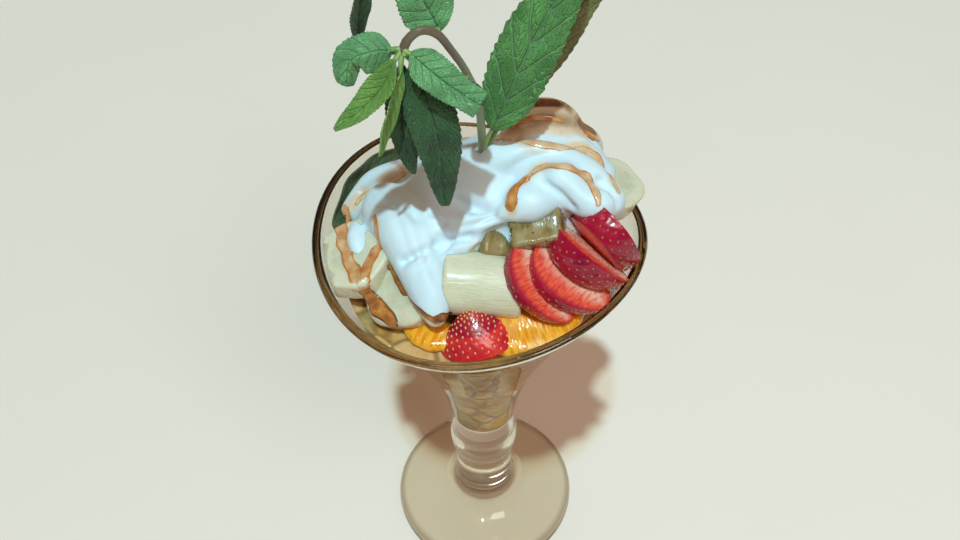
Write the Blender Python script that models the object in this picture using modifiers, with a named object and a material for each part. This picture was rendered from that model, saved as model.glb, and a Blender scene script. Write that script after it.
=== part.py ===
"""Fruit cup: a footed glass with fruit in juice, whipped cream, strawberries and mint.

Metres, +Z up. The origin is on the table, under the middle of the foot.
The front of the cup, where the strawberries are, faces -Y.
"""
import math

import bmesh
import bpy
from mathutils import Matrix, Vector, noise

# Driving dimensions
MM = 0.001
RIM_RADIUS = 0.052
GLASS_HEIGHT = 0.162
RIM_BEAD = 0.0017
JUICE_LEVEL = 0.149
CREAM_BOTTOM = 0.1498
LUMPS = 0.0006
GAP = 0.0004
GLASS_STEPS = 40
STRAWBERRY_LENGTH = 0.028
STRAWBERRY_WIDTH = 0.024
HALF_SIZE = (0.80, 0.92, 0.75)
HALF_STUB = -0.002
BANANA_RADIUS = 0.0125
BANANA_SLICE = 0.0075
LEAF_THICKNESS = 0.0007
CREAM_VOXEL = 0.0019
CREAM_TRIANGLES = 2400

# Outer and inner outline of the glass, radius and height in mm, bottom to top
OUTER_OUTLINE = [(35.0, 1.4), (35.7, 4.4), (34.9, 7.2), (32.0, 8.7), (26.0, 9.7), (19.5, 11.4),
                 (14.6, 15.0), (12.0, 20.5), (11.2, 29.0), (11.4, 39.0), (12.9, 48.5),
                 (11.7, 59.0), (12.0, 67.0), (14.3, 80.0), (17.0, 90.0), (20.2, 100.0),
                 (29.0, 120.0), (38.9, 140.0), (44.8, 150.0), (50.0, 157.6)]
INNER_OUTLINE = [(4.2, 59.3), (7.4, 62.0), (9.2, 67.0), (11.9, 80.0), (14.6, 90.0), (17.8, 100.0),
                 (26.6, 120.0), (36.6, 140.0), (42.5, 150.0), (48.2, 158.0)]
CAVITY_BOTTOM = 58.5

# The rim isn't level: it waves up and down twice round the glass
WAVE_COSINE = 0.0141
WAVE_SINE = -0.0815


def mm(x, y, z):
    """A point given in millimetres."""
    return Vector((x, y, z)) * MM


def clear_scene():
    for obj in list(bpy.data.objects):
        bpy.data.objects.remove(obj, do_unlink=True)


def new_collection(name):
    collection = bpy.data.collections.new(name)
    bpy.context.scene.collection.children.link(collection)
    return collection


clear_scene()
CUP = new_collection("fruit_cup")
CUTTERS = new_collection("cutters")


def material(name, colour, roughness=0.5, transmission=0.0):
    mat = bpy.data.materials.new(name)
    mat.use_nodes = True
    shader = mat.node_tree.nodes["Principled BSDF"]
    shader.inputs["Base Color"].default_value = (*colour, 1.0)
    shader.inputs["Roughness"].default_value = roughness
    shader.inputs["Metallic"].default_value = 0.0
    shader.inputs["Transmission Weight"].default_value = transmission
    return mat


def new_object(name, mesh, mat, collection=CUP):
    mesh.name = name
    mesh.materials.clear()
    mesh.materials.append(mat)
    mesh.shade_smooth()
    obj = bpy.data.objects.new(name, mesh)
    collection.objects.link(obj)
    return obj


def face_outwards(bm):
    """Turn the faces outwards, also on bodies so small that the recalculation errs."""
    bmesh.ops.recalc_face_normals(bm, faces=bm.faces)
    if bm.calc_volume(signed=True) < 0:
        bmesh.ops.reverse_faces(bm, faces=bm.faces)


def mesh_from(bm):
    """A mesh made from a bmesh, which is freed."""
    face_outwards(bm)
    mesh = bpy.data.meshes.new("mesh")
    bm.to_mesh(mesh)
    bm.free()
    return mesh


def evaluated_mesh(obj):
    """A copy of the object's mesh with its modifiers applied."""
    bpy.context.view_layer.update()
    graph = bpy.context.evaluated_depsgraph_get()
    return bpy.data.meshes.new_from_object(obj.evaluated_get(graph))


def apply_modifiers(obj):
    mesh = evaluated_mesh(obj)
    obj.modifiers.clear()
    obj.data = mesh


def smooth_points(points, count):
    """Evenly many points on a smooth curve through the given ones (Catmull-Rom)."""
    points = [Vector(p) for p in points]
    ends = [2 * points[0] - points[1]] + points + [2 * points[-1] - points[-2]]
    curve = []
    for step in range(count):
        place = step / (count - 1) * (len(points) - 1)
        span = min(int(place), len(points) - 2)
        t = place - span
        a, b, c, d = ends[span:span + 4]
        curve.append(0.5 * (2 * b + (c - a) * t + (2 * a - 5 * b + 4 * c - d) * t ** 2
                            + (3 * b - 3 * c + d - a) * t ** 3))
    return curve


def outline_radius(outline, height):
    """Radius of an outline at a height, both in mm."""
    for (low_r, low_z), (high_r, high_z) in zip(outline, outline[1:]):
        if height <= high_z:
            share = (height - low_z) / (high_z - low_z)
            return low_r + (high_r - low_r) * share
    return outline[-1][0]


def rim_wave(point):
    """How far the wavy rim lifts a point of the bowl."""
    radius = math.hypot(point.x, point.y)
    angle = math.atan2(point.y, point.x)
    wave = WAVE_COSINE * math.cos(2 * angle) + WAVE_SINE * math.sin(2 * angle)
    share = min(max((point.z - 0.09) / (GLASS_HEIGHT - 0.09), 0.0), 1.0)
    return radius * wave * share


def wave_mesh(mesh):
    for vertex in mesh.vertices:
        vertex.co.z += rim_wave(vertex.co)


def turned(name, profile, mat, collection=CUP, ring=False):
    """A turned solid from a profile in mm, which ends on the axis at both ends or is a closed ring."""
    mesh = bpy.data.meshes.new(name)
    corners = [mm(radius, 0, height) for radius, height in profile]
    edges = [(i, i + 1) for i in range(len(corners) - 1)]
    if ring:
        edges.append((len(corners) - 1, 0))
    mesh.from_pydata(corners, edges, [])
    obj = new_object(name, mesh, mat, collection)
    screw = obj.modifiers.new("turn", "SCREW")
    screw.steps = GLASS_STEPS
    screw.render_steps = GLASS_STEPS
    screw.use_merge_vertices = True
    screw.merge_threshold = 0.00005
    apply_modifiers(obj)
    bm = bmesh.new()
    bm.from_mesh(obj.data)
    face_outwards(bm)
    bm.to_mesh(obj.data)
    bm.free()
    wave_mesh(obj.data)
    obj.data.shade_smooth()
    return obj


def make_glass():
    """Foot, stem with a soft knop, and a bowl that widens to a rounded rim."""
    inner = [(0.0, CAVITY_BOTTOM)] + [tuple(p) for p in smooth_points(INNER_OUTLINE, 11)]
    outer = [tuple(p) for p in reversed(smooth_points(OUTER_OUTLINE, 21))]
    bead = RIM_BEAD / MM
    centre_radius = RIM_RADIUS / MM - bead
    centre_height = GLASS_HEIGHT / MM - bead
    rim = []
    for angle in (160, 90, 20):
        turn = math.radians(angle)
        rim.append((centre_radius + bead * math.cos(turn), centre_height + bead * math.sin(turn)))
    profile = inner + rim + outer + [(33.6, 0.0), (0.0, 0.0)]
    mat = material("clear_glass", (0.95, 0.95, 0.93), 0.03, 1.0)
    glass = turned("glass", profile, mat)
    glass.data.set_sharp_from_angle(angle=math.radians(60))
    return glass


def make_wall_cutter():
    """A thick ring that takes away whatever comes closer to the bowl's wall than the gap."""
    gap = 1.2 * GAP / MM
    wall = [(radius - gap, height) for radius, height in smooth_points(INNER_OUTLINE, 11)]
    top = GLASS_HEIGHT / MM + 1.2
    profile = wall + [(wall[-1][0], top), (62.0, top), (62.0, wall[0][1])]
    cutter = turned("wall_cutter", profile, material("cutter", (0.5, 0.5, 0.5)), CUTTERS, ring=True)
    cutter.hide_render = True
    cutter.display_type = "WIRE"
    return cutter


def lay_on_level(vertex, edge):
    """Bring a vertex of the top down to the level juice, its ring fitted to the wavy wall there."""
    radius = math.hypot(vertex.co.x, vertex.co.y)
    angle = math.atan2(vertex.co.y, vertex.co.x)
    lift = rim_wave(Vector((edge * math.cos(angle), edge * math.sin(angle), JUICE_LEVEL)))
    wall = outline_radius(INNER_OUTLINE, (JUICE_LEVEL - lift) / MM) * MM - 2 * GAP
    vertex.co.x *= wall / edge
    vertex.co.y *= wall / edge
    vertex.co.z = JUICE_LEVEL
    if radius < 0.97 * edge:
        vertex.co.z -= LUMPS * (1 + noise.noise(vertex.co * 90))


def make_fruit_base():
    """Juice and fruit that fill the bowl, with a slightly lumpy top."""
    gap = 2 * GAP / MM
    level = JUICE_LEVEL / MM
    sides = [(0.0, CAVITY_BOTTOM + gap)]
    sides += [(radius - gap, height) for radius, height in smooth_points(INNER_OUTLINE, 11)
              if height < level - 6]
    edge = outline_radius(INNER_OUTLINE, level) - gap
    top = [(edge * share, level) for share in (1.0, 0.9, 0.72, 0.4, 0.0)]
    profile = list(reversed(top)) + list(reversed(sides))
    mat = material("fruit_in_juice", (0.62, 0.42, 0.20), 0.3)
    base = turned("fruit_base", profile, mat)
    for vertex in base.data.vertices:
        if vertex.co.z > JUICE_LEVEL - 0.004:
            lay_on_level(vertex, edge * MM)
    return base


def strawberry(bm, point):
    """A whole strawberry along X, its tip at +X, more or less pointed, in the given bmesh."""
    bmesh.ops.create_uvsphere(bm, u_segments=20, v_segments=12, radius=1.0)
    for vertex in bm.verts:
        along, across, deep = vertex.co.z, vertex.co.x, vertex.co.y
        taper = 1.0 - point * along - 0.10 * along * along
        vertex.co.x = along * STRAWBERRY_LENGTH / 2
        vertex.co.y = across * taper * STRAWBERRY_WIDTH / 2
        vertex.co.z = deep * taper * STRAWBERRY_WIDTH / 2


def cut_plane(bm, point, normal):
    """Cut away what lies on the normal's side of a plane, and close the cut."""
    everything = bm.verts[:] + bm.edges[:] + bm.faces[:]
    cut = bmesh.ops.bisect_plane(bm, geom=everything, plane_co=point, plane_no=normal,
                                 clear_outer=True)
    edges = [item for item in cut["geom_cut"] if isinstance(item, bmesh.types.BMEdge)]
    bmesh.ops.contextual_create(bm, geom=edges)


def frame_matrix(centre, along, face):
    """Placement whose X runs along one direction and whose Z is near another."""
    x_axis = Vector(along).normalized()
    y_axis = Vector(face).cross(x_axis).normalized()
    z_axis = x_axis.cross(y_axis)
    turn = Matrix((x_axis, y_axis, z_axis)).transposed().to_4x4()
    return Matrix.Translation(centre) @ turn


def shorten_half(bm):
    """The half berry is smaller than the slices, and its stalk end is cut off square."""
    bm.transform(Matrix.Diagonal((*HALF_SIZE, 1.0)))
    cut_plane(bm, (HALF_STUB, 0, 0), (-1, 0, 0))


def make_strawberry_piece(name, centre, tip, face, low, high, point, mat):
    """A slice between two heights across a strawberry, its cut face up along face."""
    bm = bmesh.new()
    strawberry(bm, point)
    cut_plane(bm, (0, 0, high * MM), (0, 0, 1))
    if low > -STRAWBERRY_WIDTH / MM / 2:
        cut_plane(bm, (0, 0, low * MM), (0, 0, -1))
    if name == "strawberry_half":
        shorten_half(bm)
    else:
        bm.transform(Matrix.Translation((0, 0, -(low + high) / 2 * MM)))
    bm.transform(frame_matrix(centre, tip, face))
    piece = new_object(name, mesh_from(bm), mat)
    piece.data.set_sharp_from_angle(angle=math.radians(50))
    return piece


# Strawberry pieces: centre, way the tip points, way the cut face looks, the two sides, pointedness
STRAWBERRIES = [
    ("strawberry_half", (-1.4, -33.2, 151.6), (-0.20, 0.29, 0.93), (0.0, 0.95, -0.30), -13, 0.3, 0.6),
    ("strawberry_slice_1", (18.6, -23.4, 164.6), (0.45, -0.67, -0.59), (0.54, -0.32, 0.78), -2.2, 1.4, 0.2),
    ("strawberry_slice_2", (26.4, -21.7, 164.5), (0.69, -0.54, -0.47), (0.43, -0.21, 0.88), -2.6, 1.8, 0.2),
    ("strawberry_slice_3", (30.6, -18.2, 167.0), (0.75, -0.50, -0.43), (0.63, 0.35, 0.69), -8.0, 0.2, 0.2),
    ("strawberry_slice_4", (36.8, -12.0, 169.5), (0.52, -0.20, -0.83), (0.79, 0.56, 0.26), -7.0, 0.2, 0.2),
]


def make_strawberries():
    """A half at the front, and a fan of four slices that lean to the left."""
    mat = material("strawberry", (0.62, 0.04, 0.04), 0.3)
    return [make_strawberry_piece(name, mm(*centre), tip, face, low, high, point, mat)
            for name, centre, tip, face, low, high, point in STRAWBERRIES]


def make_banana_slice(name, centre, face, radius, thickness, mat):
    """A round slice with slightly flattened sides and soft edges."""
    bm = bmesh.new()
    bmesh.ops.create_cone(bm, cap_ends=True, segments=18, radius1=radius, radius2=radius,
                          depth=thickness)
    for vertex in bm.verts:
        angle = math.atan2(vertex.co.y, vertex.co.x)
        share = 1 + 0.035 * math.cos(5 * angle)
        vertex.co.x *= share
        vertex.co.y *= share
    bm.transform(frame_matrix(centre, (1, 0, -face[0] / face[2]), face))
    piece = new_object(name, mesh_from(bm), mat)
    bevel = piece.modifiers.new("soft_edge", "BEVEL")
    bevel.width = 0.0012
    bevel.segments = 1
    apply_modifiers(piece)
    return piece


def make_banana_chunk(mat):
    """A thick length of peeled banana, seen from its side."""
    bm = bmesh.new()
    bmesh.ops.create_cone(bm, cap_ends=True, segments=16, radius1=0.0098, radius2=0.0090,
                          depth=0.0235)
    bm.transform(frame_matrix(mm(0, 0, 0), (0, 0.75, -0.66), (1.0, -0.12, -0.05)))
    bm.transform(Matrix.Translation(mm(0.6, -21.6, 161.6)))
    chunk = new_object("banana_chunk", mesh_from(bm), mat)
    bevel = chunk.modifiers.new("soft_edge", "BEVEL")
    bevel.width = 0.0028
    bevel.segments = 2
    apply_modifiers(chunk)
    return chunk


def make_bananas():
    mat = material("banana", (0.72, 0.70, 0.48), 0.45)
    slices = [("banana_slice_1", mm(-37.8, -9.6, 160.4), (-0.26, -0.12, 0.96), BANANA_RADIUS),
              ("banana_slice_2", mm(-23.0, -20.0, 157.6), (-0.42, -0.42, 0.80), BANANA_RADIUS * 0.96),
              ("banana_slice_3", mm(41.0, 9.8, 169.4), (0.36, -0.05, 0.93), BANANA_RADIUS * 0.80)]
    pieces = [make_banana_chunk(mat)]
    for name, centre, face, radius in slices:
        pieces.append(make_banana_slice(name, centre, face, radius, BANANA_SLICE, mat))
    return pieces


def make_orange_segment(name, centre, along, face, length, mat):
    """A curved segment whose cross-section is a rounded triangle with a flat upper side."""
    bm = bmesh.new()
    bmesh.ops.create_uvsphere(bm, u_segments=14, v_segments=10, radius=1.0)
    for vertex in bm.verts:
        along_share, across, deep = vertex.co.z, vertex.co.x, vertex.co.y
        corner = 1 + 0.16 * math.sin(3 * math.atan2(deep, across))
        vertex.co.x = along_share * length / 2
        vertex.co.y = across * corner * length * 0.22 + length * 0.16 * along_share ** 2
        vertex.co.z = deep * corner * length * 0.16
    bm.transform(frame_matrix(centre, along, face))
    return new_object(name, mesh_from(bm), mat)


def make_oranges():
    mat = material("orange", (0.80, 0.42, 0.03), 0.3)
    return [make_orange_segment("orange_segment_1", mm(15.0, -32.4, 151.4), (1.0, 0.22, 0.06),
                                (0.0, -0.35, 0.94), 0.036, mat),
            make_orange_segment("orange_segment_2", mm(-15.2, -31.8, 150.4), (0.90, -0.43, 0.0),
                                (0.0, -0.25, 0.97), 0.022, mat)]


def make_kiwi(name, centre, size, along, face, mat):
    """A cut block of kiwi, narrower at its top."""
    bm = bmesh.new()
    bmesh.ops.create_cube(bm, size=1.0)
    for vertex in bm.verts:
        narrow = 0.82 if vertex.co.z > 0 else 1.0
        vertex.co.x *= size[0] * narrow * MM
        vertex.co.y *= size[1] * MM
        vertex.co.z *= size[2] * MM
    bm.transform(frame_matrix(centre, along, face))
    piece = new_object(name, mesh_from(bm), mat)
    bevel = piece.modifiers.new("soft_edge", "BEVEL")
    bevel.width = 0.001
    bevel.segments = 2
    apply_modifiers(piece)
    return piece


def make_kiwis():
    mat = material("kiwi", (0.38, 0.36, 0.12), 0.35)
    return [make_kiwi("kiwi_1", mm(4.4, -11.6, 168.4), (11, 9, 9),
                      (0.9, 0.1, -0.3), (0.2, -0.5, 0.8), mat),
            make_kiwi("kiwi_2", mm(17.0, -12.8, 174.6), (18, 10, 9),
                      (0.97, 0.05, 0.2), (0.0, -0.4, 0.9), mat)]


def leaf_width(share, blunt):
    """Share of a leaf's half width, from 0 at the stalk to 1 at the tip."""
    bulge = max(math.sin(math.pi * share ** 0.85), 0.0) ** 0.8
    return 0.07 + (0.93 - blunt * share) * bulge + blunt * share ** 3


def leaf_grid(spine, half_width, face, fold, ripple, blunt, rows=8, columns=4):
    """Points of a leaf: a row across the spine for each step along it."""
    curve = smooth_points(spine, rows + 1)
    grid = []
    for row, centre in enumerate(curve):
        ahead = curve[min(row + 1, rows)] - curve[max(row - 1, 0)]
        side = ahead.cross(Vector(face)).normalized()
        up = side.cross(ahead).normalized()
        width = half_width * leaf_width(row / rows, blunt)
        line = []
        for column in range(columns + 1):
            across = 2 * column / columns - 1
            rise = abs(across) * width * math.tan(math.radians(fold))
            rise += ripple * abs(across) * math.sin(row * 1.9 + across)
            line.append(centre + side * across * width * math.cos(math.radians(fold)) + up * rise)
        grid.append(line)
    return grid


def sheet_object(name, grid, mat):
    """A thin solid from a grid of points, both faces split into triangles alike."""
    bm = bmesh.new()
    rows = [[bm.verts.new(point) for point in line] for line in grid]
    for low, high in zip(rows, rows[1:]):
        for i in range(len(low) - 1):
            bm.faces.new((low[i], low[i + 1], high[i + 1], high[i]))
    bmesh.ops.triangulate(bm, faces=bm.faces)
    sheet = new_object(name, mesh_from(bm), mat)
    solid = sheet.modifiers.new("thickness", "SOLIDIFY")
    solid.thickness = LEAF_THICKNESS
    solid.offset = 0.0
    apply_modifiers(sheet)
    return sheet


# Leaves: spine points, half width, way the upper side looks, fold in degrees, ripple and width at the tip
LEAVES = [
    ("mint_leaf_1",
     [(-16.0, -12.8, 239.2), (-11.8, -14.2, 235.4), (-6.2, -16.2, 231.2), (0.8, -18.2, 226.8)],
     6.0, (0.22, -0.60, 0.77), 8, 0.4, 0.55),
    ("mint_leaf_2",
     [(-9.0, -3.6, 239.4), (-11.3, -2.6, 244.2), (-14.6, -1.6, 251.0), (-17.5, 0.4, 259.4)],
     7.0, (0.35, -0.85, 0.2), 14, 0.5, 0.1),
    ("mint_leaf_3",
     [(-20.6, -11.6, 239.6), (-25.0, -12.2, 239.6), (-30.8, -13.0, 237.6), (-32.6, -14.4, 231.2)],
     6.0, (0.25, -0.75, 0.6), -28, 0.4, 0.3),
    ("mint_leaf_4",
     [(-30.0, -2.8, 236.4), (-29.3, -3.0, 243.6), (-27.6, -3.0, 251.2), (-25.0, -2.6, 258.8)],
     3.6, (0.75, -0.6, 0.1), 18, 0.2, 0.1),
    ("mint_leaf_5",
     [(-19.8, -13.6, 238.2), (-22.6, -16.2, 232.6), (-28.2, -19.0, 227.4), (-35.6, -22.0, 223.0)],
     4.2, (-0.3, -0.5, 0.8), 24, 0.2, 0.05),
    ("mint_leaf_6",
     [(-18.4, -14.8, 236.0), (-20.8, -17.2, 229.6), (-23.6, -19.2, 220.8), (-25.6, -20.2, 212.4)],
     2.6, (0.75, -0.66, 0.0), 26, 0.2, 0.05),
    ("mint_leaf_7",
     [(-18.6, -9.4, 233.4), (-19.0, -10.8, 224.4), (-19.2, -13.0, 213.2), (-17.4, -14.6, 201.0)],
     4.4, (-0.2, -0.95, 0.2), 10, 0.4, 0.1),
    ("mint_leaf_8",
     [(-15.6, -11.2, 235.6), (-12.4, -14.6, 225.8), (-9.8, -17.8, 211.4), (-9.2, -20.6, 194.6)],
     6.6, (0.15, -0.97, -0.1), 12, 0.5, 0.1),
    ("mint_leaf_9",
     [(4.6, 4.2, 199.4), (9.0, 7.4, 208.8), (15.2, 12.6, 221.8), (23.6, 19.4, 235.0),
                     (31.0, 27.0, 246.0)], 8.8, (-0.25, -0.86, 0.45), 10, 0.6, 0.1),
    ("mint_leaf_10",
     [(7.6, 9.4, 198.0), (15.6, 15.4, 208.6), (25.0, 23.4, 219.8), (34.4, 31.4, 228.6),
                      (43.4, 39.0, 236.0)], 6.0, (0.55, -0.80, 0.2), 16, 0.5, 0.1),
    ("mint_leaf_11",
     [(-3.4, -4.4, 222.0), (-0.6, -6.4, 221.2), (2.2, -8.4, 219.4)],
     2.6, (0.3, -0.7, 0.6), 8, 0.2, 0.2),
]


def make_mint():
    """A hanging sprig, an upright pair of leaves, and a leaf against the glass."""
    green = material("mint", (0.07, 0.26, 0.10), 0.5)
    stem_green = material("mint_stem", (0.16, 0.20, 0.12), 0.5)
    leaves = []
    for name, spine, half_width, face, fold, ripple, blunt in LEAVES:
        points = [mm(*point) for point in spine]
        grid = leaf_grid(points, half_width * MM, face, fold, ripple * MM, blunt)
        leaves.append(sheet_object(name, grid, green))
    leaves.append(make_leaf_in_glass(green))
    return [make_stem(stem_green)] + leaves


def make_stem(mat):
    """The sprig's stalk: up out of the cream and over in a hook."""
    route = [(1.6, 7.6, 178.0), (1.4, 6.0, 194.0), (0.5, 3.0, 211.0), (-2.5, -2.0, 224.8),
             (-6.1, -6.0, 235.0), (-9.3, -8.0, 241.4), (-13.0, -9.6, 243.8), (-16.4, -10.8, 242.0),
             (-18.2, -12.0, 238.6)]
    curve = bpy.data.curves.new("mint_stem", "CURVE")
    curve.dimensions = "3D"
    curve.bevel_depth = 0.0012
    curve.bevel_resolution = 2
    curve.use_fill_caps = True
    spline = curve.splines.new("POLY")
    points = smooth_points([mm(*point) for point in route], 18)
    spline.points.add(len(points) - 1)
    for slot, place in zip(spline.points, points):
        slot.co = (*place, 1.0)
    tube = bpy.data.objects.new("stem_curve", curve)
    CUP.objects.link(tube)
    mesh = evaluated_mesh(tube)
    bpy.data.objects.remove(tube, do_unlink=True)
    bm = bmesh.new()
    bm.from_mesh(mesh)
    bmesh.ops.remove_doubles(bm, verts=bm.verts, dist=0.00001)
    return new_object("mint_stem", mesh_from(bm), mat)


def make_leaf_in_glass(mat):
    """A long leaf that lies against the inside of the bowl, at the back left."""
    grid = []
    for row in range(13):
        share = row / 12
        angle = math.radians(174 - 58 * share)
        half = 7.0 * leaf_width(share, 0.2)
        line = []
        for column in range(5):
            height = 156.4 + half * (column / 2 - 1) * 0.84
            radius = outline_radius(INNER_OUTLINE, height) - 1.6 - 0.35 * math.sin(row * 1.7 + column)
            point = mm(radius * math.cos(angle), radius * math.sin(angle), height)
            point.z += rim_wave(point)
            line.append(point)
        grid.append(line)
    return sheet_object("mint_leaf_in_glass", grid, mat)


# Whipped cream: mounds (centre and radii) and strokes (points and radii), in mm
MOUNDS = [((3, 7, 155), (34, 25, 33)),
          ((-20, 6, 153), (20, 19, 23)),
          ((25, 3, 156), (16, 16, 26)),
          ((22, -1, 180), (13, 9, 10)),
          ((20, 20, 183), (13, 8, 13)),
          ((28, 18, 178), (11, 8, 10))]
STROKES = [
    ([(-16, 16, 172), (-24, 17, 170), (-33, 15, 167), (-40, 10, 162)], [5, 5, 5, 3.5]),
    ([(-38, 1, 164), (-37, -6, 163.5), (-34.6, -13, 160.5)], [2.0, 3.6, 2.0]),
    ([(-27, 4, 168), (-21, -6, 169), (-17.2, -18, 167), (-14.2, -27, 163), (-13.2, -32, 160)],
     [9, 10, 8, 6, 3.5]),
    ([(-24, -3, 172), (-14, -8, 174), (-5, -10, 175), (3, -9, 177), (10, -9, 180)], [5, 5, 5, 5, 5]),
    ([(-11.5, -19, 169), (-8, -16, 171), (-2, -15.0, 172), (3, -14.6, 172)], [2.6, 3, 3, 2]),
    ([(10.5, -6, 181), (14.5, -8.5, 182), (18, -8, 182)], [5.5, 6, 5]),
    ([(24, -3, 186), (30, -8, 182.5), (34, -8.5, 181), (38.5, -5, 178.5)], [6, 5, 5.5, 5]),
    ([(6, 6, 186), (20, 4, 187), (32, 0, 183), (38.6, -3.6, 175)], [6, 6, 6.5, 5]),
    ([(18, 13, 185), (30, 12, 182), (36.5, 8, 177)], [6, 6.5, 5.5]),
]
# Folds pressed into the cream: points, depth and width in mm
FOLDS = [
    ([(-36, 12, 168), (-27, 12, 173), (-18, 11, 177)], 3.0, 3.0),
    ([(-22, -8, 172), (-14, -12, 173), (-7, -12, 174), (-2, -13, 173)], 2.4, 2.4),
    ([(7, -12, 179), (7.5, -5, 186), (15, 1, 191), (26, 1, 190), (35, -5, 184)], 1.8, 2.2),
    ([(2, 10, 190), (14, 11, 192), (28, 8, 191), (38, 2, 184)], 1.6, 2.4),
    ([(-10, 2, 182), (-3, -6, 181), (4, -10, 179)], 1.4, 3.0),
    ([(8, 22, 186), (16, 20, 195), (26, 20, 193), (36, 18, 184)], 1.6, 1.6),
    ([(10, 15, 189), (20, 14, 194), (32, 14, 190), (40, 11, 182)], 1.4, 1.5),
]


def distance_to_path(point, path):
    """Shortest distance from a point to a line of points."""
    best = 1.0
    for start, end in zip(path, path[1:]):
        step = end - start
        share = min(max((point - start).dot(step) / step.length_squared, 0.0), 1.0)
        best = min(best, (start + step * share - point).length)
    return best


def press_folds(mesh):
    """Push the surface in along the folds."""
    paths = [(smooth_points([mm(*p) for p in points], 12), depth * MM, width * MM)
             for points, depth, width in FOLDS]
    normals = [vertex.normal.copy() for vertex in mesh.vertices]
    for vertex, normal in zip(mesh.vertices, normals):
        for path, depth, width in paths:
            near = distance_to_path(vertex.co, path) / width
            vertex.co -= normal * depth * math.exp(-near * near)


def keep_largest(obj):
    """Drop every loose scrap but the largest body."""
    bm = bmesh.new()
    bm.from_mesh(obj.data)
    left = set(bm.verts)
    islands = []
    while left:
        island = {left.pop()}
        front = list(island)
        while front:
            for edge in front.pop().link_edges:
                for vertex in edge.verts:
                    if vertex in left:
                        left.discard(vertex)
                        island.add(vertex)
                        front.append(vertex)
        islands.append(island)
    islands.sort(key=len)
    for island in islands[:-1]:
        bmesh.ops.delete(bm, geom=list(island), context="VERTS")
    bm.to_mesh(obj.data)
    bm.free()


def make_cream():
    """Mounds and strokes of cream run together, with folds pressed in."""
    bm = bmesh.new()
    for centre, radii in MOUNDS:
        size = Matrix.Diagonal((*(radius * MM for radius in radii), 1.0))
        bmesh.ops.create_uvsphere(bm, u_segments=32, v_segments=20, radius=1.0,
                                  matrix=Matrix.Translation(mm(*centre)) @ size)
    for points, radii in STROKES:
        centres = smooth_points(points, 6 * len(points))
        sizes = smooth_points([(radius, 0) for radius in radii], len(centres))
        for centre, size in zip(centres, sizes):
            bmesh.ops.create_uvsphere(bm, u_segments=14, v_segments=8, radius=size[0] * MM,
                                      matrix=Matrix.Translation(centre * MM))
    mat = material("whipped_cream", (0.85, 0.86, 0.84), 0.5)
    cream = new_object("whipped_cream", mesh_from(bm), mat)
    remesh = cream.modifiers.new("run_together", "REMESH")
    remesh.mode = "VOXEL"
    remesh.voxel_size = CREAM_VOXEL
    soften = cream.modifiers.new("soften", "SMOOTH")
    soften.factor = 0.5
    soften.iterations = 4
    apply_modifiers(cream)
    press_folds(cream.data)
    thin = cream.modifiers.new("thin", "DECIMATE")
    thin.ratio = CREAM_TRIANGLES / (2 * len(cream.data.polygons))
    apply_modifiers(cream)
    bm = bmesh.new()
    bm.from_mesh(cream.data)
    cut_plane(bm, (0, 0, CREAM_BOTTOM), (0, 0, -1))
    bmesh.ops.triangulate(bm, faces=bm.faces)
    bm.to_mesh(cream.data)
    bm.free()
    keep_largest(cream)
    return cream


def swollen_copy(obj):
    """A cutter that is the object grown by the gap."""
    cutter = bpy.data.objects.new(obj.name + "_cutter", obj.data.copy())
    CUTTERS.objects.link(cutter)
    cutter.hide_render = True
    cutter.display_type = "WIRE"
    grow = cutter.modifiers.new("grow", "DISPLACE")
    grow.strength = GAP
    grow.mid_level = 0.0
    apply_modifiers(cutter)
    return cutter


def boxes_meet(first, second):
    """Whether the bounding boxes of two objects overlap."""
    ends = []
    for obj in (first, second):
        corners = [vertex.co for vertex in obj.data.vertices]
        ends.append([(min(c[axis] for c in corners), max(c[axis] for c in corners)) for axis in range(3)])
    return all(a[0] < b[1] and b[0] < a[1] for a, b in zip(*ends))


def cut_round(obj, cutters):
    """Cut an object back from each cutter that it may touch."""
    for cutter in cutters:
        if not boxes_meet(obj, cutter):
            continue
        cut = obj.modifiers.new("clear", "BOOLEAN")
        cut.operation = "DIFFERENCE"
        cut.solver = "EXACT"
        cut.object = cutter
        apply_modifiers(obj)
    keep_largest(obj)


def build():
    """Make every piece, then cut each one back from those before it."""
    make_glass()
    pieces = make_strawberries() + make_bananas() + make_oranges() + make_kiwis()
    mint = make_mint()
    cutters = [make_wall_cutter(), swollen_copy(mint[0])]
    for piece in pieces:
        swollen = swollen_copy(piece)
        cut_round(piece, cutters)
        cutters.append(swollen)
    cut_round(make_cream(), cutters)
    cut_round(make_fruit_base(), cutters[1:])


build()
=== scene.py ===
# %% [markdown]
# # A fruit cup in a footed glass
# The cup is a tall glass on a foot, filled with fruit in amber juice. Whipped cream is heaped on
# top, fresh fruit leans against it, syrup runs over it and a sprig of mint hangs above. A packed
# set of plain solids says where each piece is and how big. This lesson makes a finer piece for
# each of them in the same place, and gives it a finish.

# %% Load the plain solids
import math

import bpy
import numpy as np
from mathutils import Matrix, Vector, noise
from mathutils.bvhtree import BVHTree


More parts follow.
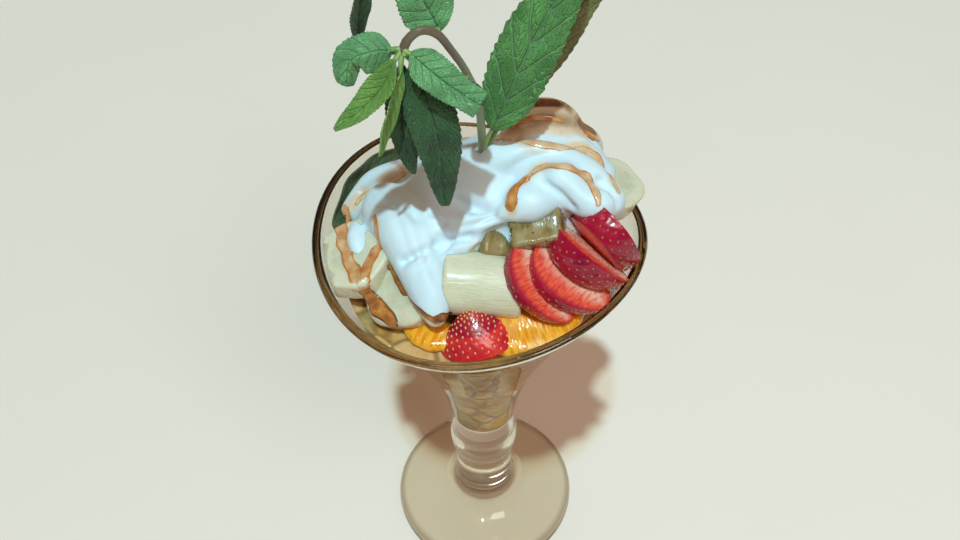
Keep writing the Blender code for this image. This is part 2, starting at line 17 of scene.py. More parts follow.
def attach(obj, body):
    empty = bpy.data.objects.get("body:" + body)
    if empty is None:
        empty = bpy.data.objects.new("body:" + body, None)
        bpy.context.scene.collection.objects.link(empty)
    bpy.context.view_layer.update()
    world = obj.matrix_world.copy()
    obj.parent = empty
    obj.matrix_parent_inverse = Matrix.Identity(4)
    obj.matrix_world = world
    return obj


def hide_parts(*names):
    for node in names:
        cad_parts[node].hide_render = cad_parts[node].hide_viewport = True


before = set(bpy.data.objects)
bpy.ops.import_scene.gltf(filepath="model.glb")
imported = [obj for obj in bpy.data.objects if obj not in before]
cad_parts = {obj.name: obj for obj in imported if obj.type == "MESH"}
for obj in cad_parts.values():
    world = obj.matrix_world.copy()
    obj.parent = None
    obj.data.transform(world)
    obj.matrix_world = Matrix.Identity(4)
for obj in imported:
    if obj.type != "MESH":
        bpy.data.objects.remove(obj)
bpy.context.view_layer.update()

# %% [markdown]
# ## Small tools
# Edit operators act on whatever is selected, and the loaded solids start out selected. So every
# step picks one object first. Places are given in millimetres, and a finished piece keeps its
# place in its mesh, while its object stays at the origin.

# %% Picking, applying and placing
MM = 0.001


def mm(x, y, z):
    """A point given in millimetres."""
    return Vector((x, y, z)) * MM


def pick(obj):
    """Select one object and nothing else."""
    bpy.ops.object.select_all(action="DESELECT")
    obj.select_set(True)
    bpy.context.view_layer.objects.active = obj


def newest(name):
    """The object that an operator has just made, with its place put into its mesh."""
    obj = bpy.context.object
    obj.name = obj.data.name = name
    pick(obj)
    bpy.ops.object.transform_apply(location=True, rotation=True, scale=True)
    return obj


def new_shape(name, operator, **settings):
    """A new object from an operator that adds a plain shape."""
    bpy.ops.object.select_all(action="DESELECT")
    operator(**settings)
    return newest(name)


def join_pieces(name, pieces):
    """Join several pieces into the first of them."""
    pick(pieces[0])
    for piece in pieces:
        piece.select_set(True)
    bpy.ops.object.join()
    return newest(name)


def finish(obj, kind, **settings):
    """Add a modifier, set it up and apply it."""
    modifier = obj.modifiers.new(kind.lower(), kind)
    for key, value in settings.items():
        setattr(modifier, key, value)
    pick(obj)
    bpy.ops.object.modifier_apply(modifier=modifier.name)


def soften(obj, width, segments, angle):
    """Round the edges that turn by more than an angle in degrees."""
    finish(obj, "BEVEL", width=width, segments=segments, limit_method="ANGLE",
           angle_limit=math.radians(angle))


def edit(obj, *steps):
    """Run steps in edit mode, with the whole mesh selected."""
    pick(obj)
    bpy.ops.object.mode_set(mode="EDIT")
    bpy.ops.mesh.select_all(action="SELECT")
    for step in steps:
        step()
    bpy.ops.object.mode_set(mode="OBJECT")


def choose(obj, kind, items, chosen):
    """Go to edit mode with only the chosen edges or faces selected."""
    pick(obj)
    bpy.ops.object.mode_set(mode="EDIT")
    bpy.ops.mesh.select_mode(type=kind)
    bpy.ops.mesh.select_all(action="DESELECT")
    bpy.ops.object.mode_set(mode="OBJECT")
    for item in items:
        item.select = chosen(item)
    bpy.ops.object.mode_set(mode="EDIT")


def close_seams():
    bpy.ops.mesh.remove_doubles(threshold=0.00001)
    bpy.ops.mesh.normals_make_consistent(inside=False)


# %% Reading and writing the points of a mesh
def points_of(obj):
    co = np.empty(len(obj.data.vertices) * 3)
    obj.data.vertices.foreach_get("co", co)
    return co.reshape(-1, 3)


def normals_of(obj):
    normals = np.empty(len(obj.data.vertices) * 3, np.float32)
    obj.data.vertex_normals.foreach_get("vector", normals)
    return normals.reshape(-1, 3).astype(float)


def set_points(obj, points):
    obj.data.vertices.foreach_set("co", np.ascontiguousarray(points, dtype=float).ravel())
    obj.data.update()


def keep_values(obj, name, values):
    """Store a number, or three, on each point of the mesh, for its finish to read."""
    values = np.ascontiguousarray(values, dtype=float)
    kind = "FLOAT" if values.ndim == 1 else "FLOAT_VECTOR"
    layer = obj.data.attributes.get(name) or obj.data.attributes.new(name, kind, "POINT")
    layer.data.foreach_set("value" if values.ndim == 1 else "vector", values.ravel())


def smooth_points(points, count):
    """Evenly many points on a smooth curve through the given ones (Catmull-Rom)."""
    points = [Vector(p) for p in points]
    ends = [2 * points[0] - points[1]] + points + [2 * points[-1] - points[-2]]
    curve = []
    for step in range(count):
        place = step / (count - 1) * (len(points) - 1)
        span = min(int(place), len(points) - 2)
        t = place - span
        a, b, c, d = ends[span:span + 4]
        curve.append(0.5 * (2 * b + (c - a) * t + (2 * a - 5 * b + 4 * c - d) * t ** 2
                            + (3 * b - 3 * c + d - a) * t ** 3))
    return curve


def smooth_line(points, count):
    """The same points as an array."""
    return np.array([tuple(p) for p in smooth_points(points, count)])


def rows_at(rows, share):
    """Rows of a three-column table, read at shares of its length."""
    at = share * (len(rows) - 1)
    return np.stack([np.interp(at, np.arange(len(rows)), rows[:, k]) for k in range(3)], 1)


def unit_rows(rows):
    """The same directions, each with a length of one."""
    return rows / np.linalg.norm(rows, axis=1)[:, None]


def round_points(radius, angle, height):
    """Points round the axis, from a radius and a height in mm."""
    return np.stack([radius * np.cos(angle), radius * np.sin(angle), height], 1) * MM


def frame_matrix(centre, along, face):
    """Placement whose X runs along one direction and whose Z is near another."""
    x_axis = Vector(along).normalized()
    y_axis = Vector(face).cross(x_axis).normalized()
    z_axis = x_axis.cross(y_axis)
    turn = Matrix((x_axis, y_axis, z_axis)).transposed().to_4x4()
    return Matrix.Translation(centre) @ turn


def hand_over(obj, mat, slot, *nodes):
    """Give a piece its finish, and let it stand for its plain solids."""
    obj.data.materials.clear()
    obj.data.materials.append(mat)
    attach(obj, "root")
    if nodes:
        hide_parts(*nodes)
    print(obj.name, "faces:", len(obj.data.polygons))


# %% [markdown]
# ## Camera, floor and light
# The camera looks down at the cup at 49 degrees, as the eye does at a table. The floor is plain
# and pale. A cool lamp with a narrow angle shines from high in front, so that the leaves throw
# shadows with clear edges. A weak soft lamp and a warm sky fill them in.

# %% Camera
ELEVATION = math.radians(48.91)
ROLL = math.radians(-1.2677)
AIM = mm(0, 0, 143.2)
DISTANCE = 0.3387
LENS, SENSOR_WIDTH = 39.375, 36

back = Vector((0, -math.cos(ELEVATION), math.sin(ELEVATION)))
right = Vector((1, 0, 0))
up = back.cross(right)
turned_right = math.cos(ROLL) * right + math.sin(ROLL) * up
turned_up = math.cos(ROLL) * up - math.sin(ROLL) * right
camera = bpy.data.objects.new("camera", bpy.data.cameras.new("camera"))
bpy.context.scene.collection.objects.link(camera)
camera.matrix_world = (Matrix.Translation(AIM + DISTANCE * back)
                       @ Matrix((turned_right, turned_up, back)).transposed().to_4x4())
camera.data.lens = LENS
camera.data.sensor_width = SENSOR_WIDTH
camera.data.clip_start = 0.01
bpy.context.scene.camera = camera
print("camera at", [round(value, 4) for value in camera.location])


# %% Helpers for finishes
def add(tree, kind, **settings):
    """Add a shader node. A setting is a property, an input's value, or what is linked to it."""
    node = tree.nodes.new("ShaderNode" + kind)
    for name, value in settings.items():
        if name[0] == "_":
            socket = node.inputs[int(name[1:])]
        elif hasattr(node, name):
            setattr(node, name, value)
            continue
        else:
            socket = node.inputs[name.replace("_", " ")]
        if isinstance(value, bpy.types.NodeSocket):
            tree.links.new(value, socket)
        else:
            socket.default_value = value
    return node


def calc(tree, operation, *values):
    settings = {"_%d" % place: value for place, value in enumerate(values)}
    return add(tree, "Math", operation=operation, **settings).outputs[0]


def spread(tree, value, low, high, to_low=0.0, to_high=1.0):
    """Map a range of values softly on to another."""
    node = add(tree, "MapRange", interpolation_type="SMOOTHSTEP", _0=value, _1=low, _2=high,
               _3=to_low, _4=to_high)
    return node.outputs[0]


def blend(tree, share, first, second, how="MIX"):
    """Mix two colours, given as sockets or as (red, green, blue)."""
    first = (*first, 1.0) if isinstance(first, tuple) else first
    second = (*second, 1.0) if isinstance(second, tuple) else second
    node = add(tree, "Mix", data_type="RGBA", blend_type=how, _0=share, _6=first, _7=second)
    return node.outputs[2]


def clouds(tree, place, scale, detail=3.0, rough=0.5):
    return add(tree, "TexNoise", Vector=place, Scale=scale, Detail=detail,
               Roughness=rough).outputs[0]


def kept(tree, name, output="Vector"):
    """What keep_values has stored on the points."""
    return add(tree, "Attribute", attribute_name=name).outputs[output]


def stretched(tree, place, *scale):
    return add(tree, "Mapping", Vector=place, Scale=scale).outputs[0]


def parts_of(tree, place):
    """X, Y and Z of a place."""
    return add(tree, "SeparateXYZ", Vector=place).outputs


def distance_of(tree, first, second):
    """Length of the step that two parts make together."""
    return calc(tree, "SQRT", calc(tree, "ADD", calc(tree, "POWER", first, 2.0),
                                   calc(tree, "POWER", second, 2.0)))


def new_finish(name, **constants):
    """A material with its constant values set, and the place on the object that patterns read."""
    mat = bpy.data.materials.new(name)
    mat.use_nodes = True
    tree = mat.node_tree
    shader = tree.nodes["Principled BSDF"]
    for key, value in constants.items():
        shader.inputs[key.replace("_", " ")].default_value = value
    place = add(tree, "TexCoord").outputs["Object"]
    return mat, tree, shader, place


def wire(tree, shader, **inputs):
    for key, value in inputs.items():
        tree.links.new(value, shader.inputs[key.replace("_", " ")])


def bumpy(tree, shader, height, distance, strength=1.0):
    node = add(tree, "Bump", Height=height, Distance=distance, Strength=strength)
    tree.links.new(node.outputs[0], shader.inputs["Normal"])


# %% Floor, sky and lamps
bpy.context.scene.view_settings.view_transform = "Standard"
bpy.context.scene.cycles.caustics_refractive = False
bpy.context.scene.cycles.caustics_reflective = False
floor_finish, tree, shader, place = new_finish("pale floor", Roughness=0.6)
floor_tone = clouds(tree, place, 6.0)
wire(tree, shader, Base_Color=blend(tree, floor_tone, (0.90, 0.76, 0.67), (0.86, 0.72, 0.63)))
floor = new_shape("floor", bpy.ops.mesh.primitive_plane_add, size=6.0, location=(0, 0, -0.0002))
floor.data.materials.append(floor_finish)

world = bpy.data.worlds.new("sky")
bpy.context.scene.world = world
world.use_nodes = True
sky = world.node_tree
sky_height = parts_of(sky, add(sky, "TexCoord").outputs["Generated"])[2]
sky_tone = blend(sky, spread(sky, sky_height, 0.0, 0.8), (0.40, 0.22, 0.12), (1.0, 0.70, 0.45))
sky.links.new(sky_tone, sky.nodes["Background"].inputs["Color"])
sky.nodes["Background"].inputs["Strength"].default_value = 0.33


def lamp(name, kind, energy, colour, direction, distance=1.0, size=0.3):
    """A lamp that shines along a direction at the middle of the cup."""
    data = bpy.data.lights.new(name, kind)
    data.energy = energy
    data.color = colour
    if kind == "SUN":
        data.angle = size
    else:
        data.size = size
    obj = bpy.data.objects.new(name, data)
    bpy.context.scene.collection.objects.link(obj)
    way = Vector(direction).normalized()
    obj.location = AIM - way * distance
    obj.rotation_euler = way.to_track_quat("-Z", "Y").to_euler()


lamp("key lamp", "SUN", 2.6, (0.54, 0.90, 1.0), (0.05, 0.33, -0.94), size=math.radians(2.0))
lamp("soft lamp", "AREA", 1.2, (1.0, 0.97, 0.94), (-0.3, 0.5, -0.8), distance=0.7, size=0.25)

# %% [markdown]
# ## The glass
# A pressed glass has a domed foot, a stem with a soft knop, and a bowl that opens to a rounded
# rim. It could be lathed from two outlines with a modifier, but a half outline spun round the
# axis shows each step: the inner line from the bottom of the bowl up, round the rim, and the
# outer line down to the foot. The real rim isn't level, so the bowl is then lifted and lowered
# twice round.

# %% Outlines of the glass, radius and height in mm
OUTER_OUTLINE = [(35.0, 1.4), (35.7, 4.4), (34.9, 7.2), (32.0, 8.7), (26.0, 9.7), (19.5, 11.4),
                 (14.6, 15.0), (12.0, 20.5), (11.2, 29.0), (11.4, 39.0), (12.9, 48.5),
                 (11.7, 59.0), (12.0, 67.0), (14.3, 80.0), (17.0, 90.0), (20.2, 100.0),
                 (29.0, 120.0), (38.9, 140.0), (44.8, 150.0), (50.0, 157.6)]
INNER_OUTLINE = [(4.2, 59.3), (7.4, 62.0), (9.2, 67.0), (11.9, 80.0), (14.6, 90.0), (17.8, 100.0),
                 (26.6, 120.0), (36.6, 140.0), (42.5, 150.0), (48.2, 158.0)]
CAVITY_BOTTOM = 58.5
RIM_BEAD = 1.7
RIM_RADIUS = 51.9
GLASS_HEIGHT = 162.0
JUICE_LEVEL = 149.0
WAVE_COSINE, WAVE_SINE = 0.0141, -0.0815
WAVE_START, WAVE_RANGE = 0.09, 0.072
GLASS_STEPS, JUICE_STEPS = 128, 96


def outline_curve(outline, count):
    """Evenly many (radius, height) on a smooth curve through an outline."""
    return [(p.x, p.y) for p in smooth_points([(r, z, 0) for r, z in outline], count)]


def outline_radius(outline, height):
    """Radius of an outline at heights in mm, on the same smooth curve as the glass."""
    curve = np.array(outline_curve(outline, 160))
    return np.interp(height, curve[:, 1], curve[:, 0])


def rim_wave(points):
    """How far the wavy rim lifts points of the bowl."""
    radius = np.hypot(points[:, 0], points[:, 1])
    angle = np.arctan2(points[:, 1], points[:, 0])
    wave = WAVE_COSINE * np.cos(2 * angle) + WAVE_SINE * np.sin(2 * angle)
    return radius * wave * np.clip((points[:, 2] - WAVE_START) / WAVE_RANGE, 0.0, 1.0)


def lift_by_wave(obj):
    points = points_of(obj)
    points[:, 2] += rim_wave(points)
    set_points(obj, points)


def spun(name, profile, steps, closed=False):
    """Spin an outline of (radius, height) in mm, open or closed, once round the axis."""
    obj = new_shape(name, bpy.ops.mesh.primitive_circle_add, vertices=len(profile), radius=0.01)
    set_points(obj, [(radius * MM, 0, height * MM) for radius, height in profile])
    if not closed:
        ends = {0, len(profile) - 1}
        choose(obj, "EDGE", obj.data.edges, lambda edge: set(edge.vertices) == ends)
        bpy.ops.mesh.delete(type="EDGE_FACE")
        bpy.ops.object.mode_set(mode="OBJECT")
    edit(obj, lambda: bpy.ops.mesh.spin(steps=steps, angle=math.tau, center=(0, 0, 0),
                                        axis=(0, 0, 1)),
         lambda: bpy.ops.mesh.select_all(action="SELECT"), close_seams)
    return obj


# %% Spin the glass
inner = [(0.0, CAVITY_BOTTOM)] + outline_curve(INNER_OUTLINE, 48)
outer = outline_curve(OUTER_OUTLINE, 84)[::-1]
rim = []
for angle in range(170, 10, -20):
    turn = math.radians(angle)
    rim.append((RIM_RADIUS - RIM_BEAD + RIM_BEAD * math.cos(turn),
                GLASS_HEIGHT - RIM_BEAD + RIM_BEAD * math.sin(turn)))
foot = [(34.3, 0.5), (33.2, 0.05), (31.5, 0.0), (29.5, 0.35), (20.0, 0.9), (8.0, 1.2), (0.0, 1.3)]
glass = spun("footed_glass", inner + rim + outer + foot, GLASS_STEPS)
lift_by_wave(glass)
glass.data.shade_smooth()

# %% A ring that trims banana and orange where they would reach the wall
WALL_GAP = 0.15
RING_TOP, RING_RADIUS = 168.0, 62.0
wall = [(radius - WALL_GAP, height) for radius, height in inner[1:]]
around = [(wall[-1][0], RING_TOP), (RING_RADIUS, RING_TOP), (RING_RADIUS, wall[0][1])]
wall_ring = spun("wall_ring", wall + around, GLASS_STEPS, closed=True)
lift_by_wave(wall_ring)


def carve(obj, cutter):
    finish(obj, "BOOLEAN", object=cutter, operation="DIFFERENCE", solver="MANIFOLD")


# %% Clear glass
glass_finish, tree, shader, place = new_finish(
    "clear glass", Roughness=0.02, IOR=1.5, Transmission_Weight=1.0)
ripple = clouds(tree, place, 55.0, 1.0)
tint = blend(tree, clouds(tree, place, 30.0), (0.92, 0.88, 0.80), (0.88, 0.83, 0.75))
# Painted shade: the glass's colour turns dark brown where its surface turns away from the eye. This
# stands in for a dark surface seen through the glass.
at_edge = add(tree, "LayerWeight", Blend=0.35).outputs["Facing"]
tint = blend(tree, spread(tree, at_edge, 0.45, 1.0), tint, (0.40, 0.33, 0.26))
level = add(tree, "VectorMath", operation="MULTIPLY", _0=place, _1=(1.0, 1.0, 0.0)).outputs[0]
radius = add(tree, "VectorMath", operation="LENGTH", _0=level).outputs["Value"]
height = parts_of(tree, place)[2]
# Painted shade: a dark band round the rim of the foot, standing in for a dark surface seen through
# the glass.
painted_dark_foot_band = calc(tree, "MULTIPLY", spread(tree, radius, 0.0322, 0.0350),
                 spread(tree, height, 0.0100, 0.0080))
wire(tree, shader, Base_Color=blend(tree, painted_dark_foot_band, tint, (0.42, 0.34, 0.26)))
bumpy(tree, shader, ripple, 0.0006, 0.25)
rays = add(tree, "LightPath").outputs
passing = calc(tree, "MAXIMUM", rays["Is Shadow Ray"], rays["Is Diffuse Ray"])
clear = add(tree, "BsdfTransparent", Color=(0.90, 0.87, 0.81, 1.0))
either = add(tree, "MixShader", _0=passing, _1=shader.outputs[0], _2=clear.outputs[0])
tree.links.new(either.outputs[0], tree.nodes["Material Output"].inputs["Surface"])
hand_over(glass, glass_finish, "clear_glass", "glass")

# %% [markdown]
# ## Shared effects
# Wet fruit, juice and syrup all have a thin film whose gloss changes from spot to spot, and most
# pieces have soft patches of colour. Both are built once as node groups, and each finish sets
# its own values.

# %% Node groups: soft patches and a wet film
def new_group(name, inputs, outputs):
    """An empty node group with named sockets, and its input and output nodes."""
    group = bpy.data.node_groups.new(name, "ShaderNodeTree")
    for way, sockets in (("INPUT", inputs), ("OUTPUT", outputs)):
        for title, kind in sockets.items():
            group.interface.new_socket(title, in_out=way, socket_type="NodeSocket" + kind)
    return group, group.nodes.new("NodeGroupInput"), group.nodes.new("NodeGroupOutput")


def make_patches():
    group, given, out = new_group(
        "soft patches", {"Place": "Vector", "First": "Color", "Second": "Color", "Scale": "Float"},
        {"Colour": "Color", "Height": "Float"})
    coarse = add(group, "TexNoise", Vector=given.outputs["Place"], Scale=given.outputs["Scale"],
                 Detail=4.0).outputs[0]
    share = spread(group, coarse, 0.35, 0.65)
    colour = blend(group, share, given.outputs["First"], given.outputs["Second"])
    group.links.new(colour, out.inputs["Colour"])
    group.links.new(coarse, out.inputs["Height"])
    return group


def make_wet_film():
    group, given, out = new_group("wet film", {"Place": "Vector", "Scale": "Float"},
                                  {"Gloss": "Float", "Height": "Float"})
    drops = add(group, "TexVoronoi", feature="SMOOTH_F1", Vector=given.outputs["Place"],
                Scale=given.outputs["Scale"]).outputs["Distance"]
    run = add(group, "TexNoise", Vector=given.outputs["Place"], Scale=given.outputs["Scale"],
              Detail=2.0).outputs[0]
    group.links.new(spread(group, run, 0.35, 0.65, 0.12, 0.38), out.inputs["Gloss"])
    group.links.new(calc(group, "ADD", run, calc(group, "MULTIPLY", drops, 0.4)),
                    out.inputs["Height"])
    return group


PATCHES = make_patches()
WET_FILM = make_wet_film()


def use(tree, group, **values):
    node = add(tree, "Group", node_tree=group)
    for name, value in values.items():
        if isinstance(value, bpy.types.NodeSocket):
            tree.links.new(value, node.inputs[name])
        else:
            node.inputs[name].default_value = (*value, 1.0) if isinstance(value, tuple) else value
    return node


def patches(tree, place, first, second, scale):
    """Two colours in soft patches, and the height of their pattern."""
    outputs = use(tree, PATCHES, Place=place, First=first, Second=second, Scale=scale).outputs
    return outputs["Colour"], outputs["Height"]


def wet(tree, shader, place, scale, *limits):
    """Give a finish the film's gloss, between other limits if given, and return its height."""
    film = use(tree, WET_FILM, Place=place, Scale=scale).outputs
    gloss = spread(tree, film["Gloss"], 0.1, 0.4, *limits) if limits else film["Gloss"]
    wire(tree, shader, Roughness=gloss)
    return film["Height"]


# %% [markdown]
# ## Juice and fruit in the bowl
# The bowl is packed with cut fruit in amber juice. Seen through the wall it is a mosaic of tan,
# golden and olive chunks with darker juice between. It is made as one body whose side reaches
# just into the glass, so that no layer of air shows, with a level top that climbs a little at
# the wall.

# %% Body of juice
WALL_OVERLAP = 0.12
CLIMB = 0.8
SIDE_RINGS, TOP_RINGS = 40, 24


def wall_height(level, angles):
    """Height on the unlifted wall that the wavy bowl brings to the level, for each angle."""
    low, high = np.full(len(angles), 90.0), np.full(len(angles), 160.0)
    for _ in range(30):
        middle = (low + high) / 2
        radius = outline_radius(INNER_OUTLINE, middle)
        points = round_points(radius, angles, middle)
        under = middle + rim_wave(points) / MM < level
        low, high = np.where(under, middle, low), np.where(under, high, middle)
    return (low + high) / 2


juice = spun("juice_and_fruit",
             [(k / 10, 0) for k in range(11)]
             + [(1.0, k / SIDE_RINGS * 10) for k in range(1, SIDE_RINGS + 1)]
             + [(1 - k / TOP_RINGS, 10.0) for k in range(1, TOP_RINGS + 1)], JUICE_STEPS)
code = points_of(juice) / MM
angles = np.arctan2(code[:, 1], code[:, 0])
share = np.hypot(code[:, 0], code[:, 1])
rise = code[:, 2] / 10
top_height = wall_height(JUICE_LEVEL + CLIMB, angles)
height = CAVITY_BOTTOM + (top_height - CAVITY_BOTTOM) * rise
at_bottom, at_top = rise < 0.001, rise > 0.999
radius = outline_radius(INNER_OUTLINE, np.maximum(height, INNER_OUTLINE[0][1])) + WALL_OVERLAP
height = np.where(at_bottom, CAVITY_BOTTOM - 0.1 + 0.9 * share ** 2, height)
radius = np.where(at_bottom, INNER_OUTLINE[0][0] * share, radius * share)
points = round_points(radius, angles, height)
points[:, 2] += rim_wave(points) * ~at_top
edge = np.max(radius[at_top])
climb = CLIMB * np.exp(-((1 - share) * edge / 1.3))
points[at_top, 2] = (JUICE_LEVEL + climb[at_top]) * MM
set_points(juice, points)
edit(juice, close_seams)
juice.data.shade_smooth()

# %% Finish of the juice and the fruit under it
juice_finish, tree, shader, place = new_finish(
    "fruit in amber juice", IOR=1.36, Coat_Weight=0.5, Subsurface_Weight=0.25,
    Subsurface_Scale=0.004)
warp = add(tree, "TexNoise", Vector=place, Scale=90.0, Detail=2.0).outputs["Color"]
moved = add(tree, "VectorMath", operation="MULTIPLY_ADD", _0=warp, _1=(0.006, 0.006, 0.006),
            _2=place).outputs[0]
chunks = add(tree, "TexVoronoi", Vector=moved, Scale=95.0)
kind = add(tree, "SeparateColor", Color=chunks.outputs["Color"]).outputs[0]
chunk_tones = add(tree, "ValToRGB", Fac=kind)
tones = [(0.0, (0.52, 0.25, 0.05)), (0.25, (0.64, 0.39, 0.13)), (0.5, (0.70, 0.45, 0.21)),
         (0.75, (0.40, 0.29, 0.10)), (1.0, (0.74, 0.41, 0.06))]
for stop, (spot, tone) in enumerate(tones):
    element = chunk_tones.color_ramp.elements
    item = element[stop] if stop < 2 else element.new(spot)
    item.position, item.color = spot, (*tone, 1.0)
gaps = add(tree, "TexVoronoi", feature="DISTANCE_TO_EDGE", Vector=moved, Scale=95.0).outputs[0]
between = spread(tree, gaps, 0.0, 0.13)
patchy = patches(tree, place, (0.85, 0.85, 0.85), (1.0, 1.0, 1.0), 320.0)[0]
flesh = blend(tree, 1.0, chunk_tones.outputs[0], patchy, "MULTIPLY")
wire(tree, shader, Base_Color=blend(tree, between, (0.33, 0.18, 0.06), flesh))
film = wet(tree, shader, place, 160.0)
bumpy(tree, shader, calc(tree, "ADD", between, film), 0.0008, 0.5)
hand_over(juice, juice_finish, "fruit_in_juice", "fruit_base")

# %% [markdown]
# ## Cuts of fresh fruit
# Each cut is shaped lying flat at the origin, where it is easy to bisect, and its shape there is
# kept as a value on its points. The finish reads that value, so rings, cores and seeds follow
# the fruit. The cut is then turned and moved to its place on the cup.

# %% Shape of a whole strawberry
STRAWBERRY_LENGTH = 28.0
STRAWBERRY_WIDTH = 24.0


def remember_shape(obj):
    """Keep each point's place in the flat cut, in mm, for the finish to read."""
    keep_values(obj, "own", points_of(obj) / MM)


def berry_points(unit, point):
    """Points of a unit sphere, Z along, drawn out to a berry whose tip is at +X, in metres."""
    along, across, deep = unit[:, 2], unit[:, 0], unit[:, 1]
    taper = 1.0 - point * along - 0.10 * along * along
    return np.stack([along * STRAWBERRY_LENGTH / 2, across * taper * STRAWBERRY_WIDTH / 2,
                     deep * taper * STRAWBERRY_WIDTH / 2], 1) * MM


def bisect(obj, level, side, axis=2):
    """Cut away what lies above (side 1) or below (side -1) a level in mm, and close the cut."""
    place, outward = [0, 0, 0], [0, 0, 0]
    place[axis], outward[axis] = level * MM, side
    edit(obj, lambda: bpy.ops.mesh.bisect(plane_co=place, plane_no=outward, use_fill=True,
                                          clear_outer=True, threshold=1e-7))


def turn_into_place(obj, centre, along, face, lower=0.0):
    """Move the flat cut so that the middle of its height comes to the centre."""
    matrix = frame_matrix(mm(*centre), along, face) @ Matrix.Translation((0, 0, -lower * MM))
    obj.data.transform(matrix)
    obj.data.update()
    return matrix


# %% Seeds that sit in dimples over the skin
SEED_SPACING = 2.35
SEED_SINK = 0.16
DIMPLE_RADIUS, DIMPLE_DEPTH = 1.05, 0.34
CUT_MARGIN = 0.6


def seed_places(point):
    """Places and outward directions of the seeds of a berry, evenly over its skin."""
    count = int(math.pi * STRAWBERRY_LENGTH * STRAWBERRY_WIDTH * 0.9 / SEED_SPACING ** 2)
    number = np.arange(count) + 0.5
    along = 1 - 2 * number / count
    turn = number * math.pi * (3 - math.sqrt(5))
    ring = np.sqrt(1 - along ** 2)
    unit = np.stack([ring * np.cos(turn), ring * np.sin(turn), along], 1)
    places = berry_points(unit, point)
    return places, unit_rows(places * (0.55, 1.0, 1.0))


def press_dimples(obj, places, top):
    """Sink the skin round each seed, but not the cut face."""
    points = points_of(obj)
    normals = normals_of(obj)
    skin = points[:, 2] < (top - 0.25) * MM
    for place in places:
        near = np.linalg.norm(points - place, axis=1) / (DIMPLE_RADIUS * MM)
        points -= normals * (DIMPLE_DEPTH * MM * np.exp(-near ** 2) * skin)[:, None]
    set_points(obj, points)


def seed_mesh():
    """One seed: a flattened drop made from a small ball."""
    seed = new_shape("seed", bpy.ops.mesh.primitive_ico_sphere_add, subdivisions=1, radius=1.0)
    points = points_of(seed) * (0.55, 0.33, 0.26) * MM
    points[:, 1] *= 1 - 0.3 * points[:, 0] / MM
    faces = [tuple(face.vertices) for face in seed.data.polygons]
    bpy.data.objects.remove(seed)
    return points, faces


SEED = seed_mesh()


def scatter(name, matrices, shape):
    """A mesh of many copies of a small shape."""
    corners, faces = shape
    points, sides = [], []
    for number, matrix in enumerate(matrices):
        turn = np.array(matrix)
        points.append(corners @ turn[:3, :3].T + turn[:3, 3])
        sides += [tuple(corner + number * len(corners) for corner in face) for face in faces]
    mesh = bpy.data.meshes.new(name)
    mesh.from_pydata(np.concatenate(points).tolist(), [], sides)
    obj = bpy.data.objects.new(name, mesh)
    bpy.context.scene.collection.objects.link(obj)
    obj.data.shade_smooth()
    return obj


# %% Make the strawberry cuts
HALF_SIZE = (0.80, 0.92, 0.75)
HALF_STUB = -2.0
HALF_POINT, SLICE_POINT = 0.6, 0.2
BERRIES = [
    ("half", (-1.4, -33.2, 151.6), (-0.20, 0.29, 0.93), (0.0, 0.95, -0.30), -13, 0.3),
    ("slice_1", (18.6, -23.4, 164.6), (0.45, -0.67, -0.59), (0.54, -0.32, 0.78), -2.2, 1.4),
    ("slice_2", (26.4, -21.7, 164.5), (0.69, -0.54, -0.47), (0.43, -0.21, 0.88), -2.6, 1.8),
    ("slice_3", (30.6, -18.2, 167.0), (0.75, -0.50, -0.43), (0.63, 0.35, 0.69), -8.0, 0.2),
    ("slice_4", (36.8, -12.0, 169.5), (0.52, -0.20, -0.83), (0.79, 0.56, 0.26), -7.0, 0.2)]


def make_strawberry(kind, centre, tip, face, low, high):
    """A cut of a berry, with its seeds as a piece of their own."""
    name, is_half = "strawberry_" + kind, kind == "half"
    point = HALF_POINT if is_half else SLICE_POINT
    berry = new_shape(name + "_cut", bpy.ops.mesh.primitive_uv_sphere_add, segments=96,
                      ring_count=60, radius=1.0)
    set_points(berry, berry_points(points_of(berry), point))
    remember_shape(berry)
    places, outward = seed_places(point)
    press_dimples(berry, places, high)
    bisect(berry, high, 1)
    if low > -STRAWBERRY_WIDTH / 2:
        bisect(berry, low, -1)
    soften(berry, 0.00035, 2, 40)
    shown = places[:, 2] < (high - CUT_MARGIN) * MM
    shown &= places[:, 2] > (low + CUT_MARGIN) * MM
    middle = (low + high) / 2
    if is_half:
        berry.data.transform(Matrix.Diagonal((*HALF_SIZE, 1.0)))
        places, middle = places * HALF_SIZE, 0.0
        bisect(berry, HALF_STUB, -1, axis=0)
        shown &= places[:, 0] > (HALF_STUB + CUT_MARGIN) * MM
    matrix = turn_into_place(berry, centre, tip, face, middle)
    berry.data.shade_smooth()
    berry.data.set_sharp_from_angle(angle=math.radians(50))
    turns = []
    for place, out in zip(places[shown], outward[shown]):
        sunk = Vector(place - out * SEED_SINK * MM)
        steep = out[2] if abs(out[2]) > 0.2 else 0.2
        turns.append(matrix @ frame_matrix(sunk, (1, 0, -out[0] / steep), out))
    return name, berry, scatter(name + "_seeds", turns, SEED)


strawberries = [make_strawberry(*spec) for spec in BERRIES]

